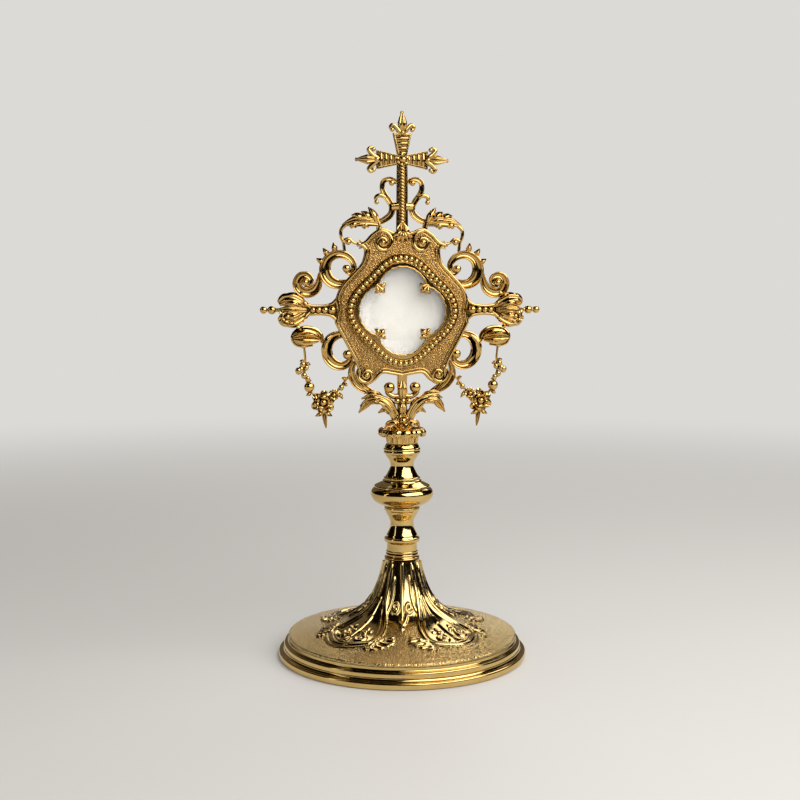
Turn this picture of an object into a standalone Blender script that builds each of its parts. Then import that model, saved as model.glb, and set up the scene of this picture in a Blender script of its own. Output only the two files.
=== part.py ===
"""A small gilt monstrance: a spun foot, a turned stem on a tie rod, and a pierced scroll-work glory
that carries a glazed window, with a hinged rear door behind which the luna and its host sit.

Lengths are in millimetres and become metres through MM. The stand is modelled upright about +Z.
The glory is modelled flat, x to the right, y up, z towards the viewer, and its empty turns it
upright, so that its front faces -Y.
"""
import math

import bmesh
import bpy
import numpy as np
from mathutils import Matrix, Vector

MM = 0.001
# Gap between pieces that touch, and the radial gap of the hinge pin in its knuckles.
CLEARANCE = 0.3
PIN_CLEARANCE = 0.15

# Foot: a spun, hollow foot with a stepped rim and a trumpet neck.
FOOT_RADIUS = 65.0
FOOT_HEIGHT = 50.5
RIM_HEIGHT = 11.3
RIM_STEP = 3.2
RIM_INSET = 3.0
RIM_WIDTH = 8.5
NECK_RADIUS = 9.1
FOOT_WALL = 1.4
NECK_DECK = 3.0
FOOT_TURN = -9.0
PANEL_COUNT = 4
PANEL_RELIEF = 1.3
# Border of a chased panel, as (radius, distance from the panel's axis), and how its outer end closes.
BORDER = ((9.1, 1.9), (14.0, 3.2), (20.0, 6.8), (26.0, 11.2), (32.0, 14.4), (37.0, 15.7))
BORDER_TIP = 45.2
BORDER_DROP = 4.5
RIB_SHARE = 0.1
RIB_HALF_WIDTH = 1.5
SPRAY_RADIUS = 42.0
SPRAY_ANGLE = 32.0
PALMETTE_RELIEF = 1.0

# Stem pieces, bottom to top, each with its height and its largest radii.
COLLAR_HEIGHT = 2.7
COLLAR_TOP_RADIUS = 8.1
LOWER_STEM_HEIGHT = 24.4
EDGE_RING_RADIUS = 9.3
WAIST_RADIUS = 6.1
VASE_RADIUS = 9.4
KNOP_HEIGHT = 14.1
KNOP_RADIUS = 16.5
UPPER_STEM_HEIGHT = 14.8
CAP_HEIGHT = 3.3
CAP_RADIUS = 9.7
CALYX_HEIGHT = 7.0
CALYX_RADIUS = 9.6
CALYX_LEAVES = 6
CALYX_CURL = 2.1

# Tie rod that clamps the stem between the foot and the glory's tang.
ROD_RADIUS = 2.0
ROD_TAIL = 12.0
ROD_ENGAGEMENT = 6.0
WASHER_RADIUS = 6.0
WASHER_THICKNESS = 1.2
NUT_RADIUS = 4.6
NUT_HEIGHT = 3.2
TANG_RADIUS = 3.4

# Glory: the lozenge plate and its four-lobed window.
GLORY_RISE = 61.7
PLATE_THICKNESS = 3.0
PLATE_TOP = 40.2
PLATE_BOTTOM = 33.9
SIDE_VERTEX = 34.9
WINDOW_RADIUS = 21.9
WINDOW_LOBE = 1.9
LEDGE = 1.1
BEZEL_WIDTH = 4.2
BEZEL_FLOOR = 0.7
BEZEL_LIP = 1.7
BEZEL_LIP_WIDTH = 0.8
PEARL_COUNT = 44
PEARL_RADIUS = 1.3
PEARL_NECK = 0.6
TRACERY_THICKNESS = 0.8
CUSP_RADIUS = 18.7
CUSP_TIP_RADIUS = 13.8
LOBE_RADIUS = 22.7
GLASS_THICKNESS = 1.0

# Luna case and its door, on the back of the plate.
CASE_INNER = 28.2
CASE_WALL = 1.4
CASE_DEPTH = 6.6
LUNA_WIDTH = 3.3
LUNA_DEPTH = 5.3
LUNA_LIP = 0.6
LUNA_GROOVE = 2.0
HOST_RADIUS = 24.2
HOST_THICKNESS = 0.9
DOOR_THICKNESS = 1.8
DOOR_OPENING = 23.0
DOOR_RABBET = 2.6
DOOR_GLASS_THICKNESS = 0.8
SPIGOT_DEPTH = 0.9
SPIGOT_WALL = 0.9
KNUCKLE_RADIUS = 1.6
KNUCKLE_LENGTH = 5.8
HINGE_PIN_RADIUS = 0.75
TAB_LENGTH = 3.4
TAB_WIDTH = 6.0

# Scroll-work: places are (right, up) from the window's centre, on the right-hand side.
SCROLL_DEPTH = 0.75
UPPER_SCROLL = (33.4, 21.5)
UPPER_SCROLL_SIZE = 7.7
LOWER_SCROLL = (34.0, -20.8)
LOWER_SCROLL_SIZE = 7.6
UPPER_VOLUTE = (50.0, 13.9)
UPPER_VOLUTE_SIZE = 4.7
LOWER_VOLUTE = (50.0, -13.4)
LOWER_VOLUTE_SIZE = 6.6
ARM_HEIGHT = 0.6
ARM_PEARLS = (2.0, 1.8, 1.6, 1.5)
FLOWER = 58.5
FLOWER_SPREAD = 6.4
TIP = 73.4
ROSE = (41.3, -46.9)
ROSE_RADIUS = 5.8
ROSE_PETALS = 5
CROSSING = 77.1
CROSS_SPAN = 24.4
CROSS_TOP = 101.9
CROSS_THICKNESS = 2.6
SHAFT_WIDTH = 5.9
ARM_FLARE = 4.7
FLEUR_LENGTH = 11.8

FOOT_SEGMENTS = 36
STEM_SEGMENTS = 16
RING_SEGMENTS = 22
WINDOW_SEGMENTS = 32
SCROLL_POINTS = 12
BALL_SEGMENTS = 6
BALL_RINGS = 4
BEAD_RINGS = 3
BEAD_RADIUS = 1.9

# Heights of the stem's joints, worked up from the foot.
COLLAR_Z = FOOT_HEIGHT + CLEARANCE
LOWER_STEM_Z = COLLAR_Z + COLLAR_HEIGHT + CLEARANCE
KNOP_Z = LOWER_STEM_Z + LOWER_STEM_HEIGHT + CLEARANCE
UPPER_STEM_Z = KNOP_Z + KNOP_HEIGHT + CLEARANCE
CAP_Z = UPPER_STEM_Z + UPPER_STEM_HEIGHT + CLEARANCE
CALYX_Z = CAP_Z + CAP_HEIGHT + CLEARANCE
CALYX_TOP = CALYX_Z + CALYX_HEIGHT
WINDOW_Z = CALYX_TOP + GLORY_RISE
STEM_BORE = ROD_RADIUS + CLEARANCE
TANG_END = CALYX_Z - WINDOW_Z
ROD_TOP = TANG_END + ROD_ENGAGEMENT + WINDOW_Z

# Depths in the glory, measured forwards from the plate's middle.
FACE = PLATE_THICKNESS / 2
CASE_FRONT = -FACE - CLEARANCE
CASE_BACK = CASE_FRONT - CASE_DEPTH
CASE_OUTER = CASE_INNER + CASE_WALL
DOOR_FRONT = CASE_BACK - CLEARANCE
DOOR_BACK = DOOR_FRONT - DOOR_THICKNESS
HINGE_U = CASE_OUTER + KNUCKLE_RADIUS + CLEARANCE
HINGE_D = (DOOR_FRONT + DOOR_BACK) / 2
LUNA_FRONT = CASE_FRONT - CLEARANCE
LUNA_OUTER = CASE_INNER - CLEARANCE
PEARL_LINE = WINDOW_RADIUS + LEDGE + CLEARANCE + BEZEL_WIDTH / 2


def clear_scene():
    """Remove whatever the file already holds."""
    for old in list(bpy.data.objects):
        bpy.data.objects.remove(old, do_unlink=True)


def collection(name):
    """A collection linked to the scene."""
    made = bpy.data.collections.new(name)
    bpy.context.scene.collection.children.link(made)
    return made


def finish(name, colour, roughness, metallic, transmission=0.0):
    """A plain finish: linear colour, roughness and metallic value."""
    material = bpy.data.materials.new(name)
    material.use_nodes = True
    shader = material.node_tree.nodes["Principled BSDF"]
    shader.inputs["Base Color"].default_value = (*colour, 1.0)
    shader.inputs["Roughness"].default_value = roughness
    shader.inputs["Metallic"].default_value = metallic
    shader.inputs["Transmission Weight"].default_value = transmission
    return material


clear_scene()
PARTS = collection("monstrance")
SCRATCH = collection("construction")
POLISHED = finish("polished_gilt", (0.80, 0.52, 0.17), 0.14, 1.0)
SATIN = finish("satin_gilt", (0.74, 0.47, 0.15), 0.34, 1.0)
STEEL = finish("plain_steel", (0.45, 0.45, 0.44), 0.35, 1.0)
GLASS = finish("clear_glass", (0.95, 0.97, 0.96), 0.03, 0.0, 1.0)
WAFER = finish("white_wafer", (0.86, 0.85, 0.81), 0.85, 0.0)


def empty(name, parent, place, turn=(0.0, 0.0, 0.0)):
    """A guide point that pieces are hung from, placed in millimetres."""
    made = bpy.data.objects.new(name, None)
    PARTS.objects.link(made)
    made.parent = parent
    made.location = Vector(place) * MM
    made.rotation_euler = turn
    return made


def evaluated_mesh(source):
    """The shape of an object with its modifiers, as a welded mesh of its own."""
    bpy.context.view_layer.update()
    graph = bpy.context.evaluated_depsgraph_get()
    mesh = bpy.data.meshes.new_from_object(source.evaluated_get(graph))
    shape = bmesh.new()
    shape.from_mesh(mesh)
    bmesh.ops.remove_doubles(shape, verts=shape.verts, dist=1e-6)
    bmesh.ops.dissolve_degenerate(shape, edges=shape.edges, dist=1e-6)
    bmesh.ops.recalc_face_normals(shape, faces=shape.faces)
    shape.to_mesh(mesh)
    shape.free()
    return mesh


def bake(source):
    """Turn a curve or a modified object into a plain mesh object in the construction set."""
    made = bpy.data.objects.new(source.name, evaluated_mesh(source))
    made.matrix_world = source.matrix_world.copy()
    bpy.data.objects.remove(source, do_unlink=True)
    SCRATCH.objects.link(made)
    return made


def scratch_object(name, data):
    """An object in the construction set."""
    made = bpy.data.objects.new(name, data)
    SCRATCH.objects.link(made)
    return made


def combine(first, second, operation):
    """Join, cut or keep the common part of two construction solids, using up the second."""
    change = first.modifiers.new("change", "BOOLEAN")
    change.operation = operation
    change.solver = "EXACT"
    change.object = second
    result = bake(first)
    bpy.data.objects.remove(second, do_unlink=True)
    return result


def fuse(solids):
    """One solid from several that overlap."""
    whole = solids[0]
    for other in solids[1:]:
        whole = combine(whole, other, "UNION")
    return whole


def grown(solid, margin):
    """A copy of a solid that stands proud of it on every side."""
    copy = scratch_object(solid.name + "_grown", solid.data.copy())
    copy.matrix_world = solid.matrix_world.copy()
    swell = copy.modifiers.new("swell", "DISPLACE")
    swell.strength = margin * MM
    swell.mid_level = 0.0
    return bake(copy)


def main_body(solid):
    """Keep the largest body of a trimmed solid and drop the offcuts."""
    shape = bmesh.new()
    shape.from_mesh(solid.data)
    remaining = set(shape.faces)
    bodies = []
    while remaining:
        front = [remaining.pop()]
        body = set(front)
        while front:
            for edge in front.pop().edges:
                for face in edge.link_faces:
                    if face in remaining:
                        remaining.discard(face)
                        body.add(face)
                        front.append(face)
        bodies.append(body)
    bodies.sort(key=lambda body: sum(face.calc_area() for face in body))
    offcuts = [face for body in bodies[:-1] for face in body]
    bmesh.ops.delete(shape, geom=offcuts, context="FACES")
    bmesh.ops.triangulate(shape, faces=shape.faces)
    shape.to_mesh(solid.data)
    shape.free()
    return solid


def cut(solid, neighbours, margin=CLEARANCE):
    """Trim a solid back from its neighbours by the clearance, and drop the offcuts."""
    for neighbour in neighbours:
        solid = combine(solid, grown(neighbour, 1.6 * margin), "DIFFERENCE")
    return main_body(solid)


def place_part(solid, name, material, parent, origin=(0.0, 0.0, 0.0)):
    """Make a finished construction solid a named part, hung from its guide point."""
    made = bpy.data.objects.new(name, solid.data)
    bpy.data.objects.remove(solid, do_unlink=True)
    made.data.name = name
    made.data.transform(Matrix.Translation(-Vector(origin) * MM))
    made.parent = parent
    made.data.materials.clear()
    made.data.materials.append(material)
    made.data.shade_smooth()
    made.data.set_sharp_from_angle(angle=math.radians(35.0))
    PARTS.objects.link(made)
    return made


def turned(profile, segments):
    """A turned solid: a closed profile of (radius, height), outer side first from the top."""
    mesh = bpy.data.meshes.new("turned")
    count = len(profile)
    verts = [(radius * MM, 0.0, height * MM) for radius, height in profile]
    closed = profile[0][0] > 0.0
    edges = [(i, (i + 1) % count) for i in range(count if closed else count - 1)]
    mesh.from_pydata(verts, edges, [])
    made = scratch_object("turned", mesh)
    screw = made.modifiers.new("turn", "SCREW")
    screw.steps = segments
    screw.render_steps = segments
    screw.use_merge_vertices = True
    screw.merge_threshold = 0.00001
    return bake(made)


def bored(outer, bore, segments):
    """A turned solid with a straight bore through it."""
    top = outer[0][1]
    bottom = outer[-1][1]
    return turned(outer + [(bore, bottom), (bore, top)], segments)


def disc(radius, front, back, segments):
    """A round plate between two depths."""
    return turned([(0.0, front), (radius, front), (radius, back), (0.0, back)], segments)


def block(low, high):
    """A box between two corners."""
    mesh = bpy.data.meshes.new("block")
    shape = bmesh.new()
    bmesh.ops.create_cube(shape, size=1.0)
    low, high = Vector(low) * MM, Vector(high) * MM
    size = high - low
    bmesh.ops.scale(shape, vec=size, verts=shape.verts)
    bmesh.ops.translate(shape, vec=(low + high) / 2, verts=shape.verts)
    shape.to_mesh(mesh)
    shape.free()
    return scratch_object("block", mesh)


def bar(radius, start, end, segments):
    """A round bar between two points."""
    mesh = bpy.data.meshes.new("bar")
    start, end = Vector(start) * MM, Vector(end) * MM
    shape = bmesh.new()
    bmesh.ops.create_cone(shape, cap_ends=True, segments=segments, radius1=radius * MM,
                          radius2=radius * MM, depth=(end - start).length)
    turn = (end - start).to_track_quat("Z", "Y").to_matrix().to_4x4()
    bmesh.ops.transform(shape, matrix=Matrix.Translation((start + end) / 2) @ turn, verts=shape.verts)
    shape.to_mesh(mesh)
    shape.free()
    return scratch_object("bar", mesh)


def ball(place, radius, depth=1.0, forward=0.0):
    """A bead in the glory, flattened front to back by depth."""
    mesh = bpy.data.meshes.new("ball")
    shape = bmesh.new()
    rings = BALL_RINGS if radius > BEAD_RADIUS else BEAD_RINGS
    bmesh.ops.create_uvsphere(shape, u_segments=BALL_SEGMENTS, v_segments=rings, radius=radius * MM)
    bmesh.ops.scale(shape, vec=(1.0, 1.0, depth), verts=shape.verts)
    bmesh.ops.translate(shape, vec=Vector((*place, forward)) * MM, verts=shape.verts)
    shape.to_mesh(mesh)
    shape.free()
    return scratch_object("ball", mesh)


def tube(path, radii, depth=SCROLL_DEPTH, sides=1, cyclic=False, forward=0.0):
    """A bar of changing width along a path of (right, up) points, flattened front to back."""
    data = bpy.data.curves.new("tube", "CURVE")
    data.dimensions = "3D"
    data.bevel_depth = MM
    data.bevel_resolution = sides
    data.use_fill_caps = True
    spline = data.splines.new("POLY")
    spline.points.add(len(path) - 1)
    spline.use_cyclic_u = cyclic
    for point, place, radius in zip(spline.points, path, radii):
        point.co = (place[0] * MM, place[1] * MM, 0.0, 1.0)
        point.radius = radius
    made = bake(scratch_object("tube", data))
    made.data.transform(Matrix.Translation((0.0, 0.0, forward * MM)) @ Matrix.Diagonal((1, 1, depth, 1)))
    return made


def flat(outlines, front, back):
    """A flat plate between two depths, from closed outlines, the first outside and the rest holes."""
    data = bpy.data.curves.new("flat", "CURVE")
    data.dimensions = "2D"
    data.fill_mode = "BOTH"
    data.extrude = (front - back) / 2 * MM
    for outline in outlines:
        spline = data.splines.new("POLY")
        spline.points.add(len(outline) - 1)
        spline.use_cyclic_u = True
        for point, (right, up) in zip(spline.points, outline):
            point.co = (right * MM, up * MM, 0.0, 1.0)
    made = bake(scratch_object("flat", data))
    made.data.transform(Matrix.Translation((0.0, 0.0, (front + back) / 2 * MM)))
    return made


def smooth(points, per_span):
    """A smooth run through points, by Catmull-Rom spans, ends included."""
    ends = [points[0]] + list(points) + [points[-1]]
    run = []
    for a, b, c, d in zip(ends, ends[1:], ends[2:], ends[3:]):
        for step in range(per_span):
            t = step / per_span
            run.append(tuple(0.5 * (2 * q + (r - p) * t + (2 * p - 5 * q + 4 * r - s) * t * t
                                    + (3 * q - p - 3 * r + s) * t ** 3)
                             for p, q, r, s in zip(a, b, c, d)))
    return run + [tuple(points[-1])]


def spiral(centre, start, end, first, last, count, tall=1.15):
    """Points round a centre between two angles in degrees, drawing in towards the end."""
    path = []
    for i in range(count):
        share = i / (count - 1)
        angle = math.radians(start + (end - start) * share)
        reach = first + (last - first) * share ** 3
        path.append((centre[0] + reach * math.cos(angle), centre[1] + tall * reach * math.sin(angle)))
    return path


def swell(count, first, middle, last):
    """Half-widths that grow from the first to the middle and fall to the last."""
    widths = []
    for i in range(count):
        share = i / (count - 1)
        widths.append(first * (1 - share) * (1 - 2 * share) + 4 * middle * share * (1 - share)
                      + last * share * (2 * share - 1))
    return widths


def mirrored(path, side):
    """A right-hand path, or its mirror image when side is -1."""
    return [(side * right, up) for right, up in path]


def window_line(radius, count=WINDOW_SEGMENTS):
    """The window's four-lobed line at a mean radius: wider on the axes than between them."""
    line = []
    for i in range(count):
        angle = 2 * math.pi * i / count
        reach = radius + WINDOW_LOBE * math.cos(4 * angle)
        line.append((reach * math.cos(angle), reach * math.sin(angle)))
    return line


def plate_outline(per_span=2):
    """The lozenge plate's outline, clockwise: shoulders, corners, flanks, lower volutes and tip."""
    shoulder = [(0.0, PLATE_TOP), (4.5, PLATE_TOP + 0.4), (10.4, PLATE_TOP + 2.3), (15.8, PLATE_TOP - 0.6),
                (19.5, PLATE_TOP - 4.4), (23.8, PLATE_TOP - 6.1)]
    flank = [(23.8, PLATE_TOP - 6.1), (19.9, PLATE_TOP - 8.4), (20.9, 25.0), (25.4, 19.8), (32.0, 12.3),
             (SIDE_VERTEX - 0.5, 5.8), (SIDE_VERTEX - 1.0, 0.0), (SIDE_VERTEX, -6.3)]
    lower = [(SIDE_VERTEX, -6.3), (28.1, -19.4), (25.0, -25.2), (23.0, -30.0)]
    volute = [(23.0, -30.0), (22.8, -34.6), (18.6, -38.0), (14.4, -36.0), (10.4, -32.4), (5.2, -32.9),
              (0.0, -PLATE_BOTTOM)]
    right = []
    for run in (shoulder, flank, lower, volute):
        right += smooth(run, per_span)[:-1]
    left = [(-u, w) for u, w in right[:0:-1]]
    return right + [(0.0, -PLATE_BOTTOM)] + left


def foot_surface(radius):
    """Height of the platter and trumpet: a hyperbola from the rim up to the neck."""
    platter = FOOT_RADIUS - 2 * RIM_INSET
    rise = (FOOT_HEIGHT - RIM_HEIGHT) / (1 / NECK_RADIUS - 1 / platter)
    return RIM_HEIGHT + rise * (1 / radius - 1 / platter)


def panel_lines(radius):
    """Angles, from a panel's axis, of the face's lines along one panel, from gap to gap."""
    border = math.degrees(np.interp(radius, *zip(*BORDER)) / min(radius, BORDER[-1][0]))
    shares = (1.0 + RIB_SHARE, 1.0, 1.0 - RIB_SHARE, 0.45)
    half = [-SPRAY_ANGLE] + [-share * border for share in shares]
    return [-180.0 / PANEL_COUNT] + half + [0.0] + [-angle for angle in half[::-1]]


def closing_radius(column, columns):
    """Radius at which a panel's border closes, or where the spray beside it lies, on a line of the face."""
    middle = columns // 2
    outside = middle - 3
    if abs(column - middle) > outside + 1:
        return SPRAY_RADIUS
    share = min(1.0, abs(column - middle) / outside)
    return BORDER_TIP - BORDER_DROP * share * share


def panel_relief(ring, column, columns, rings):
    """Height of the chased relief on a line and ring of the face: border ribs, palmette, sprays and ridges."""
    middle = columns // 2
    off = abs(column - middle)
    border = middle - 3
    closing = rings - 4
    if ring == closing and off <= border:
        return PANEL_RELIEF
    if ring == closing + 1 and off <= 1:
        return PALMETTE_RELIEF
    if ring == closing and off == middle - 1:
        return PALMETTE_RELIEF
    if off == border and 0 < ring < closing - 1:
        return PANEL_RELIEF
    if off == 0 and closing - 4 <= ring < closing - 1:
        return PALMETTE_RELIEF
    if off == middle and 0 < ring < 4:
        return 0.7 * PALMETTE_RELIEF
    return 0.0


def chase_face(foot, reaches, columns):
    """Move the face's rings and lines onto the chased panels and raise the relief."""
    pitch = 360.0 / PANEL_COUNT
    start = FOOT_TURN - 45.0 - pitch / 2
    foot.data.transform(Matrix.Rotation(math.radians(start), 4, "Z"))
    rings = len(reaches)
    for vertex in foot.data.vertices:
        radius = math.hypot(vertex.co.x, vertex.co.y) / MM
        ring = min(range(rings), key=lambda i: abs(reaches[i] - radius))
        on_face = abs(vertex.co.z / MM - foot_surface(reaches[ring])) < 0.1 * FOOT_WALL
        if not on_face or abs(reaches[ring] - radius) > 0.1 or ring in (0, rings - 1):
            continue
        turn = math.degrees(math.atan2(vertex.co.y, vertex.co.x)) - start
        line = round(turn / pitch * columns) % (columns * PANEL_COUNT)
        panel, column = divmod(line, columns)
        shift = {rings - 5: -RIB_HALF_WIDTH, rings - 4: 0.0, rings - 3: RIB_HALF_WIDTH}
        if ring in shift:
            radius = closing_radius(column, columns) + shift[ring]
        angle = math.radians(start + pitch / 2 + panel * pitch + panel_lines(radius)[column])
        height = foot_surface(radius) + panel_relief(ring, column, columns, rings)
        vertex.co = Vector((radius * math.cos(angle), radius * math.sin(angle), height)) * MM


def make_foot_rim(parent):
    """Rolled rim ring under the foot: three stepped bands and a flat ring to stand on."""
    top = RIM_HEIGHT - FOOT_WALL - CLEARANCE
    middle = FOOT_RADIUS - RIM_INSET
    upper = FOOT_RADIUS - 1.7 * RIM_INSET
    inner = FOOT_RADIUS - RIM_WIDTH
    step = RIM_HEIGHT - RIM_STEP
    ring = [(upper, top), (upper, step), (middle, step - 0.8), (middle, RIM_STEP + 1.0), (FOOT_RADIUS, RIM_STEP),
            (FOOT_RADIUS, 0.6), (FOOT_RADIUS - 0.6, 0.0), (inner, 0.0), (inner, top)]
    place_part(turned(ring, FOOT_SEGMENTS), "foot_rim", POLISHED, parent)


def make_foot(parent):
    """Spun foot: platter and trumpet in one wall, with four chased panels, soldered on its rim ring."""
    upper = FOOT_RADIUS - 1.7 * RIM_INSET
    platter = FOOT_RADIUS - 2 * RIM_INSET
    closing = SPRAY_RADIUS - 2 * RIB_HALF_WIDTH
    reaches = [radius for radius, _ in BORDER] + [closing, SPRAY_RADIUS, closing + 4 * RIB_HALF_WIDTH, 55.0, platter]
    outer = [(radius, foot_surface(radius)) for radius in reaches]
    under = RIM_HEIGHT - FOOT_WALL
    outer += [(upper, RIM_HEIGHT - 0.4), (upper, under)]
    inner = [(FOOT_RADIUS - RIM_WIDTH, under)]
    for radius in (36.0, 20.0, 12.5):
        inner.append((radius - FOOT_WALL, foot_surface(radius) - FOOT_WALL))
    bore_top = FOOT_HEIGHT - NECK_DECK
    inner += [(NECK_RADIUS - 0.7 * FOOT_WALL, bore_top), (STEM_BORE, bore_top), (STEM_BORE, FOOT_HEIGHT)]
    columns = len(panel_lines(platter))
    foot = turned(outer + inner, columns * PANEL_COUNT)
    chase_face(foot, reaches, columns)
    place_part(main_body(foot), "foot", SATIN, parent)


def make_stem(parent):
    """Turned stem pieces, threaded on the tie rod."""
    def piece(name, base, outer, material=POLISHED):
        profile = [(radius, base + height) for radius, height in outer]
        place_part(bored(profile, STEM_BORE, STEM_SEGMENTS), name, material, parent)

    piece("foot_collar", COLLAR_Z, [(COLLAR_TOP_RADIUS, COLLAR_HEIGHT), (COLLAR_TOP_RADIUS + 0.2, 1.6),
                                    (NECK_RADIUS, 0.5), (NECK_RADIUS, 0.0)], SATIN)
    top = LOWER_STEM_HEIGHT
    piece("lower_stem", LOWER_STEM_Z, [
        (VASE_RADIUS, top), (VASE_RADIUS - 0.6, top - 1.6), (WAIST_RADIUS + 1.1, top - 5.5),
        (WAIST_RADIUS, top - 9.8), (WAIST_RADIUS + 0.6, 12.4), (EDGE_RING_RADIUS - 1.2, 9.6),
        (EDGE_RING_RADIUS, 8.2), (EDGE_RING_RADIUS, 6.4), (EDGE_RING_RADIUS - 0.6, 6.0),
        (COLLAR_TOP_RADIUS, 1.0), (COLLAR_TOP_RADIUS, 0.0)])
    belly = 0.48 * KNOP_HEIGHT
    piece("knop", KNOP_Z, [
        (VASE_RADIUS + 0.4, KNOP_HEIGHT), (VASE_RADIUS + 1.0, 0.93 * KNOP_HEIGHT),
        (KNOP_RADIUS - 3.4, 0.83 * KNOP_HEIGHT), (KNOP_RADIUS - 1.9, 0.76 * KNOP_HEIGHT),
        (KNOP_RADIUS - 2.2, 0.72 * KNOP_HEIGHT), (KNOP_RADIUS - 0.8, 0.63 * KNOP_HEIGHT),
        (KNOP_RADIUS, belly), (KNOP_RADIUS - 1.2, 0.27 * KNOP_HEIGHT),
        (KNOP_RADIUS - 3.9, 0.11 * KNOP_HEIGHT), (VASE_RADIUS, 0.0)])
    top = UPPER_STEM_HEIGHT
    piece("upper_stem", UPPER_STEM_Z, [
        (CAP_RADIUS, top), (CAP_RADIUS - 0.7, top - 1.6), (WAIST_RADIUS + 0.9, top - 5.0),
        (WAIST_RADIUS, top - 8.0), (WAIST_RADIUS + 0.9, 4.4), (VASE_RADIUS - 0.7, 1.4),
        (VASE_RADIUS + 0.3, 0.0)])
    piece("stem_cap", CAP_Z, [
        (CAP_RADIUS - 1.5, CAP_HEIGHT), (CAP_RADIUS - 0.7, 1.9), (CAP_RADIUS - 0.5, 1.3),
        (CAP_RADIUS, 1.0), (CAP_RADIUS, 0.0)])


def make_tie_rod(parent):
    """Rod, washer and nut that pull the stem together from inside the foot."""
    deck = FOOT_HEIGHT - NECK_DECK
    washer_top = deck - CLEARANCE
    nut_top = washer_top - WASHER_THICKNESS - CLEARANCE
    rod = bar(ROD_RADIUS, (0, 0, deck - ROD_TAIL), (0, 0, ROD_TOP), STEM_SEGMENTS // 2)
    place_part(rod, "tie_rod", STEEL, parent)
    rim = [(WASHER_RADIUS, washer_top), (WASHER_RADIUS, washer_top - WASHER_THICKNESS)]
    place_part(bored(rim, STEM_BORE, STEM_SEGMENTS), "tie_rod_washer", STEEL, parent)
    flats = [(NUT_RADIUS, nut_top), (NUT_RADIUS, nut_top - NUT_HEIGHT)]
    hexagon = bored(flats, STEM_BORE, 6)
    place_part(hexagon, "tie_rod_nut", STEEL, parent)


def plate_solid(front=FACE, back=-FACE):
    """The plate with its window, between two depths."""
    return flat([plate_outline(), window_line(WINDOW_RADIUS)], front, back)


def upper_scroll(side):
    """Upper C-scroll: springs from the plate's flank, rolls over and ends in a ball."""
    path = spiral(UPPER_SCROLL, 225.0, 548.0, UPPER_SCROLL_SIZE, 0.6 * UPPER_SCROLL_SIZE, SCROLL_POINTS)
    solids = [tube(mirrored(path, side), swell(SCROLL_POINTS, 1.5, 2.5, 1.3))]
    solids.append(ball((side * path[-1][0], path[-1][1]), 2.5))
    for angle in (25.0, 52.0, 80.0):
        reach = UPPER_SCROLL_SIZE + 2.4
        place = (side * (UPPER_SCROLL[0] + reach * math.cos(math.radians(angle))),
                 UPPER_SCROLL[1] + 1.12 * reach * math.sin(math.radians(angle)))
        solids.append(ball(place, 1.5))
    return fuse(solids)


def lower_scroll(side):
    """Lower C-scroll: springs from the flank below the arm and curls under."""
    path = spiral(LOWER_SCROLL, 112.0, -162.0, LOWER_SCROLL_SIZE, 0.72 * LOWER_SCROLL_SIZE, SCROLL_POINTS)
    solids = [tube(mirrored(path, side), swell(SCROLL_POINTS, 1.6, 2.5, 1.4))]
    solids.append(ball((side * path[-1][0], path[-1][1]), 2.7))
    return fuse(solids)


def side_arm(side):
    """Side arm: a pearled bar that flares into a bell flower with two beads at its tip."""
    def run(points):
        return mirrored([(u, w + ARM_HEIGHT) for u, w in points], side)

    root = SIDE_VERTEX - 2.5
    neck = FLOWER - 8.0
    solids = [tube(run([(root, 0), (root + 5.0, 0), (neck - 5.0, 0), (neck, 0), (FLOWER, 0), (FLOWER + 5.6, 0)]),
                   [3.4, 1.8, 1.3, 1.9, 3.3, 1.4])]
    pitch = (neck - 5.0 - SIDE_VERTEX - 1.6) / (len(ARM_PEARLS) - 1)
    for i, radius in enumerate(ARM_PEARLS):
        solids.append(ball((side * (SIDE_VERTEX + 1.8 + pitch * i), ARM_HEIGHT), radius))
    for lift in (1.0, -1.0):
        spread = lift * FLOWER_SPREAD
        petal = [(neck, 0.3 * spread), (FLOWER - 3.2, 0.9 * spread), (FLOWER + 1.4, 1.1 * spread),
                 (FLOWER + 4.8, 0.95 * spread)]
        solids.append(tube(run(petal), [1.2, 2.7, 2.3, 0.9]))
    solids.append(tube(run([(FLOWER + 4.0, 0), (TIP - 1.0, 0)]), [0.9, 0.8]))
    solids.append(ball((side * (TIP - 6.3), ARM_HEIGHT), 2.2))
    solids.append(ball((side * (TIP - 2.0), ARM_HEIGHT), 2.0))
    return fuse(solids)


def upper_volute(side):
    """Small volute between the upper C-scroll and the bell flower."""
    path = spiral(UPPER_VOLUTE, 140.0, 510.0, UPPER_VOLUTE_SIZE, 0.36 * UPPER_VOLUTE_SIZE, SCROLL_POINTS, 1.0)
    tail = [(UPPER_VOLUTE[0] - UPPER_VOLUTE_SIZE - 3.6, UPPER_VOLUTE[1] + 4.4)]
    solids = [tube(mirrored(tail + path, side), [0.9] + swell(SCROLL_POINTS, 1.0, 1.25, 0.9))]
    solids.append(ball((side * path[-1][0], path[-1][1]), 1.5))
    foot = [(UPPER_VOLUTE[0] + 1.0, UPPER_VOLUTE[1] - UPPER_VOLUTE_SIZE),
            (FLOWER - 2.6, ARM_HEIGHT + FLOWER_SPREAD)]
    solids.append(tube(mirrored(foot, side), [0.9, 1.0]))
    return fuse(solids)


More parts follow.
